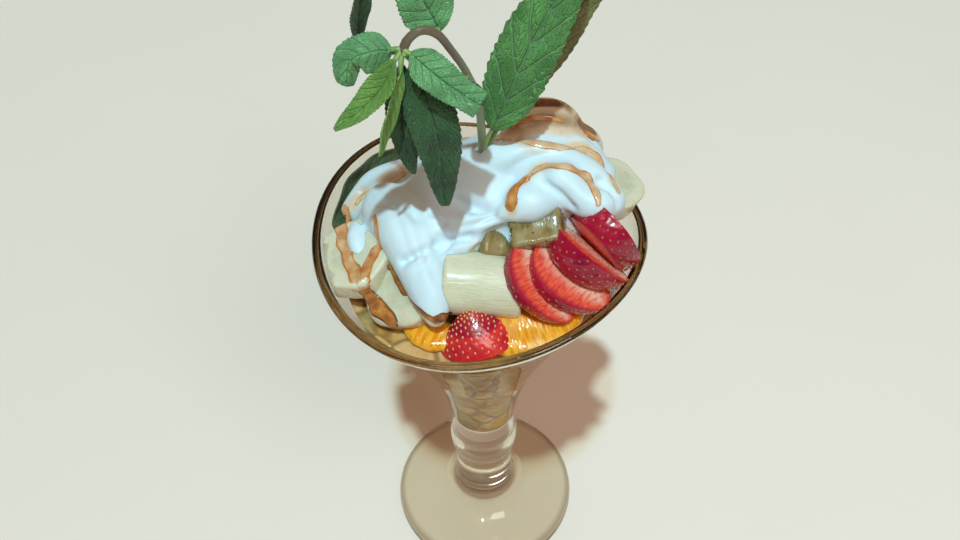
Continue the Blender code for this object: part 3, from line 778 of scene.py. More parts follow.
# %% Finish of a strawberry, from its shape
def strawberry_finish(title, point, skin_dark, skin_light):
    """Crimson skin, and a cut face with a pale core, radial streaks and a red edge."""
    mat, tree, shader, place = new_finish(title, IOR=1.4, Coat_Weight=0.45, Coat_Roughness=0.12,
                                          Subsurface_Weight=0.12, Subsurface_Scale=0.002)
    parts = parts_of(tree, kept(tree, "own"))
    along = calc(tree, "DIVIDE", parts[0], STRAWBERRY_LENGTH / 2)
    taper = calc(tree, "SUBTRACT", 1.0, calc(tree, "MULTIPLY", along, point))
    left = calc(tree, "SUBTRACT", 1.0, calc(tree, "POWER", along, 2.0))
    bow = calc(tree, "SQRT", calc(tree, "MAXIMUM", left, 0.01))
    half = calc(tree, "MULTIPLY", calc(tree, "MULTIPLY", taper, bow), STRAWBERRY_WIDTH / 2)
    across = calc(tree, "DIVIDE", parts[1], half)
    round_share = calc(tree, "DIVIDE", distance_of(tree, parts[1], parts[2]), half)
    streak_place = add(tree, "CombineXYZ", X=calc(tree, "MULTIPLY", along, 5.0),
                       Y=calc(tree, "MULTIPLY", across, 0.9), Z=0.0).outputs[0]
    streaks = clouds(tree, streak_place, 3.4, 2.0)
    flesh = blend(tree, spread(tree, streaks, 0.35, 0.7), (0.70, 0.045, 0.028), (0.88, 0.13, 0.065))
    core = calc(tree, "MULTIPLY", spread(tree, round_share, 0.66, 0.12),
                spread(tree, streaks, 0.3, 0.6, 0.35, 1.0))
    flesh = blend(tree, core, flesh, (0.90, 0.52, 0.38))
    rim_share = spread(tree, round_share, 0.70, 0.97)
    flesh = blend(tree, rim_share, flesh, (0.40, 0.002, 0.030))
    skin_tone = patches(tree, place, skin_dark, skin_light, 110.0)[0]
    on_skin = spread(tree, round_share, 0.975, 0.99)
    wire(tree, shader, Base_Color=blend(tree, on_skin, flesh, skin_tone))
    film = wet(tree, shader, place, 300.0)
    fibres = calc(tree, "ADD", streaks, calc(tree, "MULTIPLY", film, 0.6))
    bumpy(tree, shader, fibres, 0.0004, 0.35)
    return mat


def seed_finish(title, first, second):
    mat, tree, shader, place = new_finish(title, Roughness=0.35, Coat_Weight=0.3)
    wire(tree, shader, Base_Color=blend(tree, clouds(tree, place, 260.0), first, second))
    return mat


pointed = (strawberry_finish("strawberry half", HALF_POINT, (0.54, 0.008, 0.020),
                             (0.76, 0.035, 0.030)),
           seed_finish("pale strawberry seeds", (0.70, 0.30, 0.12), (0.80, 0.55, 0.24)))
blunt = (strawberry_finish("strawberry slices", SLICE_POINT, (0.26, 0.0006, 0.030),
                           (0.40, 0.003, 0.034)),
         seed_finish("dull strawberry seeds", (0.34, 0.07, 0.03), (0.46, 0.20, 0.07)))
for name, berry, seeds in strawberries:
    flesh_mat, seed_mat = pointed if name == "strawberry_half" else blunt
    hand_over(berry, flesh_mat, "strawberry", name)
    hand_over(seeds, seed_mat, "strawberry")

# %% [markdown]
# ## Banana, orange and kiwi
# The banana slices are short drums with softly lobed sides, the chunk is a thick length seen
# from its side. The orange pieces are bent segments, and the kiwi is cut in blocks. All start
# from a drum, a ball or a cube with many faces, so that the surface can be made uneven.

# %% Make the banana pieces
BANANA_SLICE = 7.5


def uneven(obj, amount, scale, seed=0.0):
    """Push the points in and out a little, as cut flesh is."""
    points = points_of(obj)
    push = np.array([noise.noise(Vector(p) * scale + Vector((seed, 0, 0))) for p in points])
    set_points(obj, points + normals_of(obj) * (push * amount * MM)[:, None])


def drum(name, sides, radius, length):
    """A drum whose ends are filled with rings, ready to be softened."""
    obj = new_shape(name, bpy.ops.mesh.primitive_cylinder_add, vertices=sides,
                    radius=radius * MM, depth=length * MM, end_fill_type="NGON")
    choose(obj, "FACE", obj.data.polygons, lambda face: abs(face.normal.z) > 0.9)
    for inset in (0.16, 0.22, 0.22, 0.18):
        bpy.ops.mesh.inset(thickness=inset * radius * MM)
    bpy.ops.object.mode_set(mode="OBJECT")
    return obj


def make_banana_slice(name, centre, face, radius):
    slice_ = drum(name, 96, radius, BANANA_SLICE)
    points = points_of(slice_)
    lobes = 1 + 0.035 * np.cos(5 * np.arctan2(points[:, 1], points[:, 0]))
    points[:, :2] *= lobes[:, None]
    set_points(slice_, points)
    soften(slice_, 0.0011, 4, 50)
    uneven(slice_, 0.25, 260.0, centre[0])
    remember_shape(slice_)
    turn_into_place(slice_, centre, (1, 0, -face[0] / face[2]), face)
    carve(slice_, wall_ring)
    slice_.data.shade_smooth()
    return slice_


BANANA_SLICES = [("banana_slice_1", (-37.8, -9.6, 160.4), (-0.26, -0.12, 0.96), 12.5),
                 ("banana_slice_2", (-23.0, -20.0, 157.6), (-0.42, -0.42, 0.80), 12.0),
                 ("banana_slice_3", (41.0, 9.8, 169.4), (0.36, -0.05, 0.93), 10.0)]
banana_pieces = [(name, make_banana_slice(name + "_cut", centre, face, radius))
                 for name, centre, face, radius in BANANA_SLICES]

CHUNK_RADIUS, CHUNK_LENGTH = 9.8, 23.5
chunk = drum("banana_chunk_cut", 64, CHUNK_RADIUS, CHUNK_LENGTH)
chunk_points = points_of(chunk)
chunk_points[:, :2] *= (1 - 0.04 * (chunk_points[:, 2] / (CHUNK_LENGTH / 2 * MM) + 1))[:, None]
set_points(chunk, chunk_points)
soften(chunk, 0.0026, 5, 50)
edit(chunk, lambda: bpy.ops.mesh.subdivide(number_cuts=2))
uneven(chunk, 1.0, 110.0, 3.0)
remember_shape(chunk)
turn_into_place(chunk, (0.6, -21.6, 161.6), (0, 0.75, -0.66), (1.0, -0.12, -0.05))
chunk.data.shade_smooth()

# %% Finish of banana
banana_finish, tree, shader, place = new_finish(
    "banana flesh", IOR=1.4, Subsurface_Weight=0.3, Subsurface_Scale=0.003, Coat_Weight=0.25,
    Coat_Roughness=0.2)
own = kept(tree, "own")
parts = parts_of(tree, own)
ring = spread(tree, distance_of(tree, parts[0], parts[1]), 5.5, 7.5)
soft = patches(tree, place, (0.63, 0.60, 0.45), (0.55, 0.51, 0.34), 130.0)[0]
colour = blend(tree, calc(tree, "MULTIPLY", ring, 0.6), soft, (0.75, 0.68, 0.50))
fibres = clouds(tree, stretched(tree, own, 1.0, 1.0, 0.12), 1.6)
colour = blend(tree, spread(tree, fibres, 0.55, 0.75, 0.0, 0.22), colour, (0.46, 0.40, 0.24))
low = calc(tree, "ADD", parts_of(tree, place)[2],
           calc(tree, "MULTIPLY", clouds(tree, place, 180.0), 0.004))
colour = blend(tree, spread(tree, low, 0.1600, 0.1555, 0.0, 0.75), colour, (0.50, 0.33, 0.22))
wire(tree, shader, Base_Color=colour)
film = wet(tree, shader, place, 240.0, 0.25, 0.5)
bumpy(tree, shader, calc(tree, "ADD", fibres, film), 0.0006, 0.45)
for node, piece in banana_pieces:
    hand_over(piece, banana_finish, "banana", node)
hand_over(chunk, banana_finish, "banana", "banana_chunk")

# %% Make the orange segments
def make_orange(name, centre, along, face, length):
    """A bent segment with a rounded three-cornered section."""
    segment = new_shape(name, bpy.ops.mesh.primitive_uv_sphere_add, segments=72, ring_count=48,
                        radius=1.0)
    unit = points_of(segment)
    along_share, across, deep = unit[:, 2], unit[:, 0], unit[:, 1]
    corner = 1 + 0.16 * np.sin(3 * np.arctan2(deep, across))
    bend = length * 0.16 * along_share ** 2
    set_points(segment, np.stack([along_share * length / 2, across * corner * length * 0.22 + bend,
                                  deep * corner * length * 0.16], 1) * MM)
    uneven(segment, 0.35, 240.0, length)
    remember_shape(segment)
    turn_into_place(segment, centre, along, face)
    carve(segment, wall_ring)
    segment.data.shade_smooth()
    return segment


ORANGES = [
    ("orange_segment_1", (15.0, -32.4, 151.4), (1.0, 0.22, 0.06), (0.0, -0.35, 0.94), 36.0),
    ("orange_segment_2", (-15.2, -31.8, 150.4), (0.90, -0.43, 0.0), (0.0, -0.25, 0.97), 22.0)]
orange_finish, tree, shader, place = new_finish(
    "orange flesh", IOR=1.4, Coat_Weight=0.5, Coat_Roughness=0.08, Subsurface_Weight=0.2,
    Subsurface_Scale=0.003)
sac_place = stretched(tree, kept(tree, "own"), 0.9, 0.22, 0.6)
sacs = add(tree, "TexVoronoi", Vector=sac_place, Scale=0.9)
edge = spread(tree, sacs.outputs["Distance"], 0.25, 0.75)
flesh = blend(tree, edge, (0.78, 0.26, 0.004), (0.93, 0.42, 0.03))
pith = spread(tree, clouds(tree, place, 80.0), 0.58, 0.70, 0.0, 0.7)
wire(tree, shader, Base_Color=blend(tree, pith, flesh, (0.85, 0.66, 0.34)))
film = wet(tree, shader, place, 220.0)
bumpy(tree, shader, calc(tree, "SUBTRACT", film, edge), 0.0005, 0.3)
for name, *shape in ORANGES:
    hand_over(make_orange(name + "_flesh", *shape), orange_finish, "orange", name)

# %% Make the kiwi blocks
def make_kiwi(name, centre, size, along, face):
    """A cut block, narrower at its top, with soft edges."""
    block = new_shape(name, bpy.ops.mesh.primitive_cube_add, size=1.0)
    points = points_of(block)
    points[:, 0] *= np.where(points[:, 2] > 0, 0.82, 1.0)
    set_points(block, points * size * MM)
    finish(block, "BEVEL", width=0.001, segments=3)
    edit(block, lambda: bpy.ops.mesh.subdivide(number_cuts=8))
    uneven(block, 0.45, 200.0, size[0])
    remember_shape(block)
    turn_into_place(block, centre, along, face)
    block.data.shade_smooth()
    return block


KIWIS = [("kiwi_1", (4.4, -11.6, 168.4), (11, 9, 9), (0.9, 0.1, -0.3), (0.2, -0.5, 0.8)),
         ("kiwi_2", (17.0, -12.8, 174.6), (18, 10, 9), (0.97, 0.05, 0.2), (0.0, -0.4, 0.9))]
kiwi_finish, tree, shader, place = new_finish(
    "kiwi flesh", IOR=1.4, Coat_Weight=0.5, Coat_Roughness=0.1, Subsurface_Weight=0.2,
    Subsurface_Scale=0.003)
own = kept(tree, "own")
green = patches(tree, place, (0.12, 0.075, 0.016), (0.31, 0.21, 0.075), 150.0)[0]
fibres = clouds(tree, stretched(tree, own, 1.0, 0.2, 0.2), 1.8)
colour = blend(tree, spread(tree, fibres, 0.5, 0.75, 0.0, 0.6), green, (0.38, 0.32, 0.14))
dots = add(tree, "TexVoronoi", Vector=own, Scale=0.32).outputs["Distance"]
colour = blend(tree, spread(tree, dots, 0.16, 0.11), colour, (0.012, 0.010, 0.008))
wire(tree, shader, Base_Color=colour)
film = wet(tree, shader, place, 260.0)
bumpy(tree, shader, calc(tree, "ADD", fibres, film), 0.0004, 0.25)
kiwi_pieces = []
for name, *shape in KIWIS:
    kiwi_pieces.append(make_kiwi(name + "_block", *shape))
    hand_over(kiwi_pieces[-1], kiwi_finish, "kiwi", name)

# %% [markdown]
# ## Whipped cream
# Spooned cream is a heap of rounded mounds and rolled lobes that have run together, with soft
# creases between them. Balls are laid along each stroke of the spoon, a voxel remesh makes them
# one skin, smoothing rounds the joints, and the creases are pressed in afterwards. Sculpting by
# hand would do as well, but strokes keep the heap in step with the plain solid.

# %% Mounds, strokes and folds, in mm
MOUNDS = [((3, 7, 155), (34, 25, 33)),
          ((-20, 6, 153), (20, 19, 23)),
          ((25, 3, 156), (16, 16, 26)),
          ((22, -1, 180), (13, 9, 10)),
          ((20, 20, 183), (13, 8, 13)),
          ((28, 18, 178), (11, 8, 10))]
STROKES = [
    ([(-16, 16, 172), (-24, 17, 170), (-33, 15, 167), (-40, 10, 162)], [5, 5, 5, 3.5]),
    ([(-38, 1, 164), (-37, -6, 163.5), (-34.6, -13, 160.5)], [2.0, 3.6, 2.0]),
    ([(-27, 4, 168), (-21, -6, 169), (-17.2, -18, 167), (-14.2, -27, 163), (-13.2, -32, 160)], [9,
     10, 8, 6, 3.5]),
    ([(-24, -3, 172), (-14, -8, 174), (-5, -10, 175), (3, -9, 177), (10, -9, 180)], [5, 5, 5, 5,
     5]),
    ([(-11.5, -19, 169), (-8, -16, 171), (-2, -15.0, 172), (3, -14.6, 172)], [2.6, 3, 3, 2]),
    ([(10.5, -6, 181), (14.5, -8.5, 182), (18, -8, 182)], [5.5, 6, 5]),
    ([(24, -3, 186), (30, -8, 182.5), (34, -8.5, 181), (38.5, -5, 178.5)], [6, 5, 5.5, 5]),
    ([(6, 6, 186), (20, 4, 187), (32, 0, 183), (38.6, -3.6, 175)], [6, 6, 6.5, 5]),
    ([(18, 13, 185), (30, 12, 182), (36.5, 8, 177)], [6, 6.5, 5.5]),
]
FOLDS = [
    ([(-36, 12, 168), (-27, 12, 173), (-18, 11, 177)], 3.0, 3.0),
    ([(-22, -8, 172), (-14, -12, 173), (-7, -12, 174), (-2, -13, 173)], 2.4, 2.4),
    ([(7, -12, 179), (7.5, -5, 186), (15, 1, 191), (26, 1, 190), (35, -5, 184)], 1.8, 2.2),
    ([(2, 10, 190), (14, 11, 192), (28, 8, 191), (38, 2, 184)], 1.6, 2.4),
    ([(-10, 2, 182), (-3, -6, 181), (4, -10, 179)], 1.4, 3.0),
    ([(8, 22, 186), (16, 20, 195), (26, 20, 193), (36, 18, 184)], 1.6, 1.6),
    ([(10, 15, 189), (20, 14, 194), (32, 14, 190), (40, 11, 182)], 1.4, 1.5),
    ([(-22.5, -21.3, 171.9), (-17.1, -19.6, 174), (-10, -15.3, 173.3), (-2.7, -14.7, 174.6)], 2.2,
     1.4),
    ([(-20.5, -24, 168), (-17, -23.6, 171.5), (-13, -19.5, 172.5), (-9, -16.8, 172)], 1.7, 1.2),
    ([(-6.8, -5.6, 181), (-1.9, -8, 179.9), (3.8, -10.5, 180.5)], 2.0, 1.8),
    ([(-27.8, -1.4, 177.4), (-23.1, -5, 178), (-17.2, -8.8, 177.3), (-11.3, -11.8, 177.3)], 1.8,
     1.7),
    ([(-14, -8, 178.5), (-8, -12, 177.5), (-2, -13, 178), (4, -12, 180)], 1.6, 1.2),
    ([(19.1, -6.9, 187.6), (23.3, -9.2, 186), (26.7, -11.6, 182.9)], 1.5, 1.5),
    ([(35.3, -3.9, 186.1), (38.6, -7.2, 184.4), (40.3, -9.7, 181.5)], 1.0, 1.2),
    ([(1.5, -17.5, 171.5), (4.5, -16, 174), (9, -15.5, 175.5)], 4.0, 2.8),
    ([(-25, -4, 177), (-22.5, -12, 176), (-19.5, -20, 172.5), (-16.5, -27, 167.5)], 1.3, 1.3),
    ([(-19, -9, 178), (-16.5, -17, 174.5), (-14, -24, 171), (-12.5, -30, 165)], 1.0, 1.2),
]
CREAM_BOTTOM = 149.2


# %% Lay the balls and let them run together
def path_distance(points, route, count=14):
    """Shortest distance in mm from each point to a smooth line through the route."""
    line = smooth_line(route, count)
    best = np.full(len(points), np.inf)
    spots = points / MM
    for start, end in zip(line, line[1:]):
        step = end - start
        t = np.clip((spots - start) @ step / (step @ step), 0, 1)
        gap = np.linalg.norm(start + t[:, None] * step - spots, axis=1)
        best = np.minimum(best, gap)
    return best


def ball(centre, radii, segments, rings):
    bpy.ops.mesh.primitive_uv_sphere_add(segments=segments, ring_count=rings, radius=1.0,
                                         location=centre, scale=radii)


def make_cream():
    made = []
    for centre, radii in MOUNDS:
        ball(mm(*centre), mm(*radii), 48, 32)
        made.append(bpy.context.object)
    for points, radii in STROKES:
        centres = smooth_points(points, 6 * len(points))
        sizes = smooth_points([(radius, 0, 0) for radius in radii], len(centres))
        for centre, size in zip(centres, sizes):
            ball(centre * MM, (size[0] * MM,) * 3, 20, 12)
            made.append(bpy.context.object)
    cream = join_pieces("cream_heap", made[::-1])
    finish(cream, "REMESH", mode="VOXEL", voxel_size=CREAM_VOXEL)
    finish(cream, "SMOOTH", factor=0.5, iterations=int(4 * (1.9 * MM / CREAM_VOXEL) ** 1.5))
    return cream


CREAM_VOXEL = 0.0007
cream = make_cream()
points, normals = points_of(cream), normals_of(cream)
for route, depth, width in FOLDS:
    near = path_distance(points, route) / width
    points -= normals * (depth * MM * np.exp(-near ** 2))[:, None]
set_points(cream, points)
cream.data.shade_smooth()
bisect(cream, CREAM_BOTTOM, -1)
print("cream faces:", len(cream.data.polygons))

# %% Where the cream is tinted beige to brown: route, strength and width
# Most routes follow syrup and juice stains. Some are painted shade, as marked below.
STAIN_AND_SHADE_ROUTES = [
    ([(-39.5, 8.6, 165.5), (-35.4, 12.3, 167.4), (-29, 14.2, 170.6), (-20, 16.2, 176.1)], 0.40,
     3.0),
    ([(-41.8, 7.7, 163.3), (-42.4, 0, 164.3), (-40.7, -8.6, 163.7)], 0.55, 2.4),
    ([(-30.6, -7.3, 172.4), (-30.2, -9.4, 168.6), (-32.1, -12.9, 165.4)], 0.55, 2.4),
    ([(-27.4, -15.1, 164.2), (-22.9, -22.7, 161), (-19, -30.3, 162), (-12.4, -35, 160.9)], 0.85,
     1.5),
    ([(8.4, 15.3, 186), (15.3, 5.3, 192.7), (31.9, 8.5, 186.6), (39.2, -1.1, 184.1)], 0.50, 3.2),
    ([(9.5, -12.9, 182.9), (10, -7.6, 186.5), (18.5, -1.7, 189.7), (32.8, -5.7, 186.3)], 0.42,
     2.2),
    # The next two routes are partly syrup and partly painted shade: the brown of the back lobe,
    # which lies in a mint leaf's shadow.
    ([(10, 16.9, 188.5), (20.3, 15.8, 193.1), (26.3, 15.8, 191.3), (34.5, 20.1, 184.9)], 0.72,
     5.0),
    ([(13, 23.6, 191), (20.5, 20.4, 194.6), (27, 21.1, 193.4), (35, 19, 184)], 1.0, 3.0),
    ([(12, 27, 180), (24, 27, 182), (36, 20, 178), (44, 12, 172), (45, 4, 171)], 0.62, 5.0),
    # Painted shade: a beige-brown band along the front's lower edge, under the overhang.
    ([(-2, -17.5, 172), (3.7, -15, 175), (8.4, -14.5, 178), (14, -14, 178)], 0.42, 1.6),
    ([(27.5, -8.8, 173), (30.7, -14.4, 176.7), (34.5, -16.7, 179), (39.7, -10.1, 176)], 0.38, 1.8),
]
stain_and_shade = np.zeros(len(cream.data.vertices))
points = points_of(cream)
for route, strength, width in STAIN_AND_SHADE_ROUTES:
    near = path_distance(points, route) / width
    stain_and_shade = np.maximum(stain_and_shade, strength * np.exp(-near ** 2))
# Below 157 mm the cream turns browner towards its bottom.
stain_and_shade = np.maximum(stain_and_shade, 0.5 * np.clip((157 - points[:, 2] / MM) / 6, 0, 1))
keep_values(cream, "stain_and_shade", stain_and_shade)
# The share of points whose stain or painted shade is above 0.2.
print("stained share:", round(float((stain_and_shade > 0.2).mean()), 2))

# %% Finish of cream
cream_finish, tree, shader, place = new_finish(
    "whipped cream", IOR=1.4, Subsurface_Weight=0.2, Subsurface_Scale=0.002, Coat_Weight=0.1,
    Coat_Roughness=0.25)
# The blue tint in the cream's base colour is painted light, a cast of the cool key lamp. Whipped
# cream itself is white.
soft = patches(tree, place, (0.70, 0.81, 0.87), (0.62, 0.73, 0.80), 60.0)[0]
breaks = spread(tree, clouds(tree, place, 150.0, 4.0), 0.25, 0.6, 0.55, 1.15)
# The stored values turn the cream beige, then dark brown. Most of this is syrup and juice stain,
# and some of it is painted shade.
amount = calc(tree, "MULTIPLY", kept(tree, "stain_and_shade", "Fac"), breaks)
colour = blend(tree, spread(tree, amount, 0.06, 0.50), soft, (0.70, 0.50, 0.33))
colour = blend(tree, spread(tree, amount, 0.50, 1.0), colour, (0.25, 0.13, 0.06))
wire(tree, shader, Base_Color=colour)
fine = calc(tree, "MULTIPLY", clouds(tree, place, 420.0), 0.2)
film = wet(tree, shader, place, 90.0, 0.38, 0.62)
bumpy(tree, shader, calc(tree, "ADD", film, fine), 0.0012, 0.25)

# %% Make room in the cream for the fruit that leans into it
berries = [berry for name, berry, seeds in strawberries]
bananas = [piece for name, piece in banana_pieces]
for piece in berries + bananas + [chunk] + kiwi_pieces:
    carve(cream, piece)
hand_over(cream, cream_finish, "whipped_cream", "whipped_cream")

# %% [markdown]
# ## Syrup
# Syrup runs down over cream and banana in thin streams with a raised middle and darker edges.
# Each stream starts as a bar with many rings. Its points are laid on the nearest spot of the
# cream or fruit along a route, so that it follows every hollow, with its under side just below.

# %% Ground that the syrup lies on
def ground_of(pieces):
    """A search tree over the faces of several pieces."""
    places, sides, first = [], [], 0
    for piece in pieces:
        places += [vertex.co.copy() for vertex in piece.data.vertices]
        sides += [[first + corner for corner in face.vertices] for face in piece.data.polygons]
        first += len(piece.data.vertices)
    return BVHTree.FromPolygons(places, sides)


def bar(name, sides, rings):
    """A bar of radius 1 and height 2 with many rings, for bending into streams and stalks."""
    obj = new_shape(name, bpy.ops.mesh.primitive_cylinder_add, vertices=sides, radius=1.0,
                    depth=2.0, end_fill_type="TRIFAN")
    heights = [vertex.co.z for vertex in obj.data.vertices]
    choose(obj, "EDGE", obj.data.edges,
           lambda edge: abs(heights[edge.vertices[0]] - heights[edge.vertices[1]]) > 1.0)
    bpy.ops.mesh.subdivide(number_cuts=rings)
    bpy.ops.object.mode_set(mode="OBJECT")
    return obj


STREAM_STEPS, STREAM_SIDES = 160, 24
RINGS_PER_MM, END_RINGS = 2.2, 6
SINK, UNDER_SHARE = 0.10, 0.3


def stream(name, route, widths, thick, shade, ground):
    """A stream of syrup along a route in mm, laid on the ground."""
    line, last = smooth_points(route, STREAM_STEPS), STREAM_STEPS - 1
    length = sum((b - a).length for a, b in zip(line, line[1:]))
    obj = bar(name, STREAM_SIDES, int(length * RINGS_PER_MM) + END_RINGS)
    code = points_of(obj)
    share = (code[:, 2] + 1) / 2
    turn, reach = np.arctan2(code[:, 1], code[:, 0]), np.hypot(code[:, 0], code[:, 1])
    places, values = [], []
    for at, angle, out in zip(share, turn, reach):
        spot = min(int(at * last), last - 1)
        middle = line[spot].lerp(line[spot + 1], at * last - spot) * MM
        ahead = (line[min(spot + 4, last)] - line[max(spot - 4, 0)]).normalized()
        above = ground.find_nearest(middle)[1]
        side = ahead.cross(above).normalized()
        width = np.interp(at, np.linspace(0, 1, len(widths)), widths)
        round_end = min(1.0, math.sqrt(max(min(at, 1 - at), 0.0) * length / width + 0.02))
        wander = noise.noise(Vector((at * length * 0.35, math.cos(angle), shade * 9)))
        width *= round_end * (1 + 0.35 * wander)
        across = math.cos(angle) * out
        on, normal = ground.find_nearest(middle + side * across * width * MM)[:2]
        lift = math.sin(angle) * out * round_end
        lift *= thick if lift > 0 else UNDER_SHARE
        places.append(on + normal * (lift - SINK) * MM)
        values.append((across, at * length, shade))
    set_points(obj, [tuple(place) for place in places])
    edit(obj, lambda: bpy.ops.mesh.normals_make_consistent(inside=False))
    keep_values(obj, "run", values)
    obj.data.shade_smooth()
    return obj


# %% Streams: route, half widths, thickness and shade (0 honey, 1 dark)
STREAMS = [
    ([(-40.6, 9.6, 164), (-41.8, 7.7, 163.3), (-42.4, 0, 164.3), (-40.7, -8.6, 163.7),
     (-37.5, -17.3, 163.4), (-34.8, -22.2, 160.8)], [1.0, 1.8, 2.2, 2.0, 2.2, 2.6], 0.5, 0.22),
    ([(-31, -4, 174), (-30.6, -7.3, 172.4), (-30.2, -9.4, 168.6), (-32.1, -12.9, 165.4),
     (-34.1, -18.1, 164.2), (-34.8, -22.2, 160.8)], [0.8, 1.4, 1.7, 1.6, 1.8, 2.4], 0.5, 0.28),
    ([(-35.4, -21, 161.6), (-33, -23.6, 158.5), (-30, -25.7, 155.5), (-26.3, -30.1, 155.2),
     (-24.6, -31.6, 154)], [2.4, 2.8, 2.8, 1.9, 0.9], 0.4, 0.62),
    ([(-27.4, -15.1, 164.2), (-25.3, -18.1, 162), (-22.9, -22.7, 161), (-19, -30.3, 163),
     (-15.3, -34.1, 162.2), (-12.4, -35, 160.9)], [0.6, 0.9, 1.1, 0.9, 1.0, 1.2], 0.35, 0.7),
    ([(-14.1, -34.6, 161.9), (-11.2, -34.1, 161.7), (-8.5, -29.8, 158.4)], [1.0, 1.5, 0.8], 0.4,
     0.8),
    ([(6, 15, 186), (8.4, 13, 188), (15.3, 6.5, 192.4), (24, 4.5, 192), (31.9, 7.5, 187),
     (36.5, 6, 184), (39.2, -1.1, 184.1), (41.1, -6.5, 182.5)], [1.2, 2.0, 2.2, 2.0, 1.9, 1.8, 1.5,
     0.9], 0.45, 0.0),
    ([(9.5, -12.9, 182.9), (9, -10.2, 185.1), (10, -7.6, 186.5), (12.7, -4.6, 186.7),
     (15, -3.1, 188)], [1.7, 2.5, 2.2, 1.6, 1.0], 0.8, 0.38),
    ([(14, -3.6, 187.5), (18.5, -1.7, 189.7), (22.9, -3.2, 191.2), (27.8, -3.9, 190),
     (31.7, -4.9, 187.2), (33.8, -10.2, 186), (34, -12.6, 184)], [0.8, 1.1, 1.1, 1.4, 2.0, 1.2,
     0.7], 0.5, 0.12),
    ([(32, 15, 187), (34.1, 16, 185.8), (37.5, 17, 182.3)], [1.3, 2.4, 1.5], 0.7, 0.35),
    ([(13.5, 23, 192.6), (15.2, 22.6, 194), (20.5, 20.4, 194.6), (25.7, 21.1, 193.8)], [0.9, 1.6,
     1.8, 1.2], 0.5, 0.95),
    ([(10, 16.9, 188.5), (14.4, 16.2, 192), (20.3, 15.8, 193.1), (26.3, 15.8, 191.3)], [0.7, 1.1,
     1.0, 0.7], 0.5, 0.3),
    ([(-38.6, 8.4, 165.5), (-35.4, 11.4, 167.2), (-29, 12.6, 170.2), (-22.5, 13.8, 174)], [0.5,
     0.9, 0.8, 0.5], 0.4, 0.1),
]
wet_ground = ground_of([cream, chunk] + bananas)
syrup = join_pieces("syrup_streams", [stream("stream_%d" % number, *spec, wet_ground)
                                      for number, spec in enumerate(STREAMS, 1)])

# %% Finish of syrup
syrup_finish, tree, shader, place = new_finish(
    "amber syrup", IOR=1.45, Coat_Weight=0.6, Coat_Roughness=0.05, Subsurface_Weight=0.2,
    Subsurface_Scale=0.002)
parts = parts_of(tree, kept(tree, "run"))
patchy = clouds(tree, place, 260.0, 4.0)
share = spread(tree, patchy, 0.3, 0.7)
thin = blend(tree, share, (0.72, 0.52, 0.36), (0.68, 0.38, 0.18))
amber = blend(tree, share, (0.66, 0.27, 0.06), (0.46, 0.15, 0.03))
dark = blend(tree, share, (0.20, 0.055, 0.018), (0.09, 0.020, 0.010))
at_edge = spread(tree, calc(tree, "ABSOLUTE", parts[0]), 0.55, 0.92)
depth = calc(tree, "ADD", parts[2], calc(tree, "MULTIPLY", at_edge, 0.3))
depth = calc(tree, "ADD", depth, calc(tree, "MULTIPLY", calc(tree, "SUBTRACT", patchy, 0.5), 0.5))
colour = blend(tree, spread(tree, depth, 0.0, 0.45), thin, amber)
colour = blend(tree, spread(tree, depth, 0.5, 0.95), colour, dark)
specks = add(tree, "TexVoronoi", Vector=place, Scale=900.0).outputs["Distance"]
spotty = calc(tree, "MULTIPLY", spread(tree, specks, 0.22, 0.12),
              spread(tree, clouds(tree, place, 400.0), 0.5, 0.62))
wire(tree, shader, Base_Color=blend(tree, spotty, colour, (0.05, 0.018, 0.010)))
film = use(tree, WET_FILM, Place=place, Scale=260.0)
wire(tree, shader, Roughness=calc(tree, "MULTIPLY", film.outputs["Gloss"], 0.7))
bumpy(tree, shader, film.outputs["Height"], 0.0005, 0.3)
hand_over(syrup, syrup_finish, None)

# %% [markdown]
# ## Mint
# A mint leaf is a thin blade, puffed up between sunken veins, with small forward teeth along its
# edge. Each leaf is a fine grid laid along a curved midrib. The teeth and the puffs are part of
# the grid, the finest net of veins is in the finish, and Solidify gives the blade its thickness.

# %% Shape of a leaf
LEAF_THICKNESS = 0.45
LEAF_ROWS, LEAF_COLUMNS = 72, 32
SPINE_STEPS = 145
PUFF = 0.11
VEIN_PAIRS = 7.0


def leaf_width(share, blunt):
    """Share of a leaf's half width, from 0 at the stalk to 1 at the tip."""
    bulge = np.clip(np.sin(np.pi * share ** 0.85), 0, None) ** 0.8
    return 0.07 + (0.93 - blunt * share) * bulge + blunt * share ** 3


def vein_depth(along, across):
    """How deep the veins are pressed at a point of the blade, from 0 to 1."""
    midrib = np.exp(-(across / 0.05) ** 2)
    phase = VEIN_PAIRS * (along - 0.22 * np.abs(across)) % 1.0
    side = np.exp(-((phase - 0.5) / 0.10) ** 2) * np.clip(1.1 - np.abs(across), 0, 1)
    return np.maximum(midrib, 0.8 * side)


def teeth(along):
    """Small forward teeth along the edge."""
    return 1 + 0.10 * (along * 22 % 1.0) * np.clip(np.sin(np.pi * along) * 3, 0, 1)


def leaf_grid(name):
    """A flat grid whose own shape says how far along and across the leaf each point is."""
    leaf = new_shape(name, bpy.ops.mesh.primitive_grid_add, x_subdivisions=LEAF_COLUMNS,
                     y_subdivisions=LEAF_ROWS, size=2.0)
    flat = points_of(leaf)
    return leaf, (flat[:, 1] + 1) / 2, flat[:, 0]


def thicken(leaf, along, across):
    """Give the blade its thickness, and mark which side of it is the upper one."""
    middle, normals = points_of(leaf), normals_of(leaf)
    keep_values(leaf, "leaf", np.stack([across, along, np.zeros_like(along)], 1))
    finish(leaf, "SOLIDIFY", thickness=LEAF_THICKNESS * MM, offset=0.0)
    count = len(middle)
    points = points_of(leaf)
    upper = np.zeros(len(points))
    for number in (0, 1):
        part = slice(number * count, (number + 1) * count)
        upper[part] = ((points[part] - middle) * normals).sum(1) > 0
    keep_values(leaf, "upper", upper)
    leaf.data.shade_smooth()


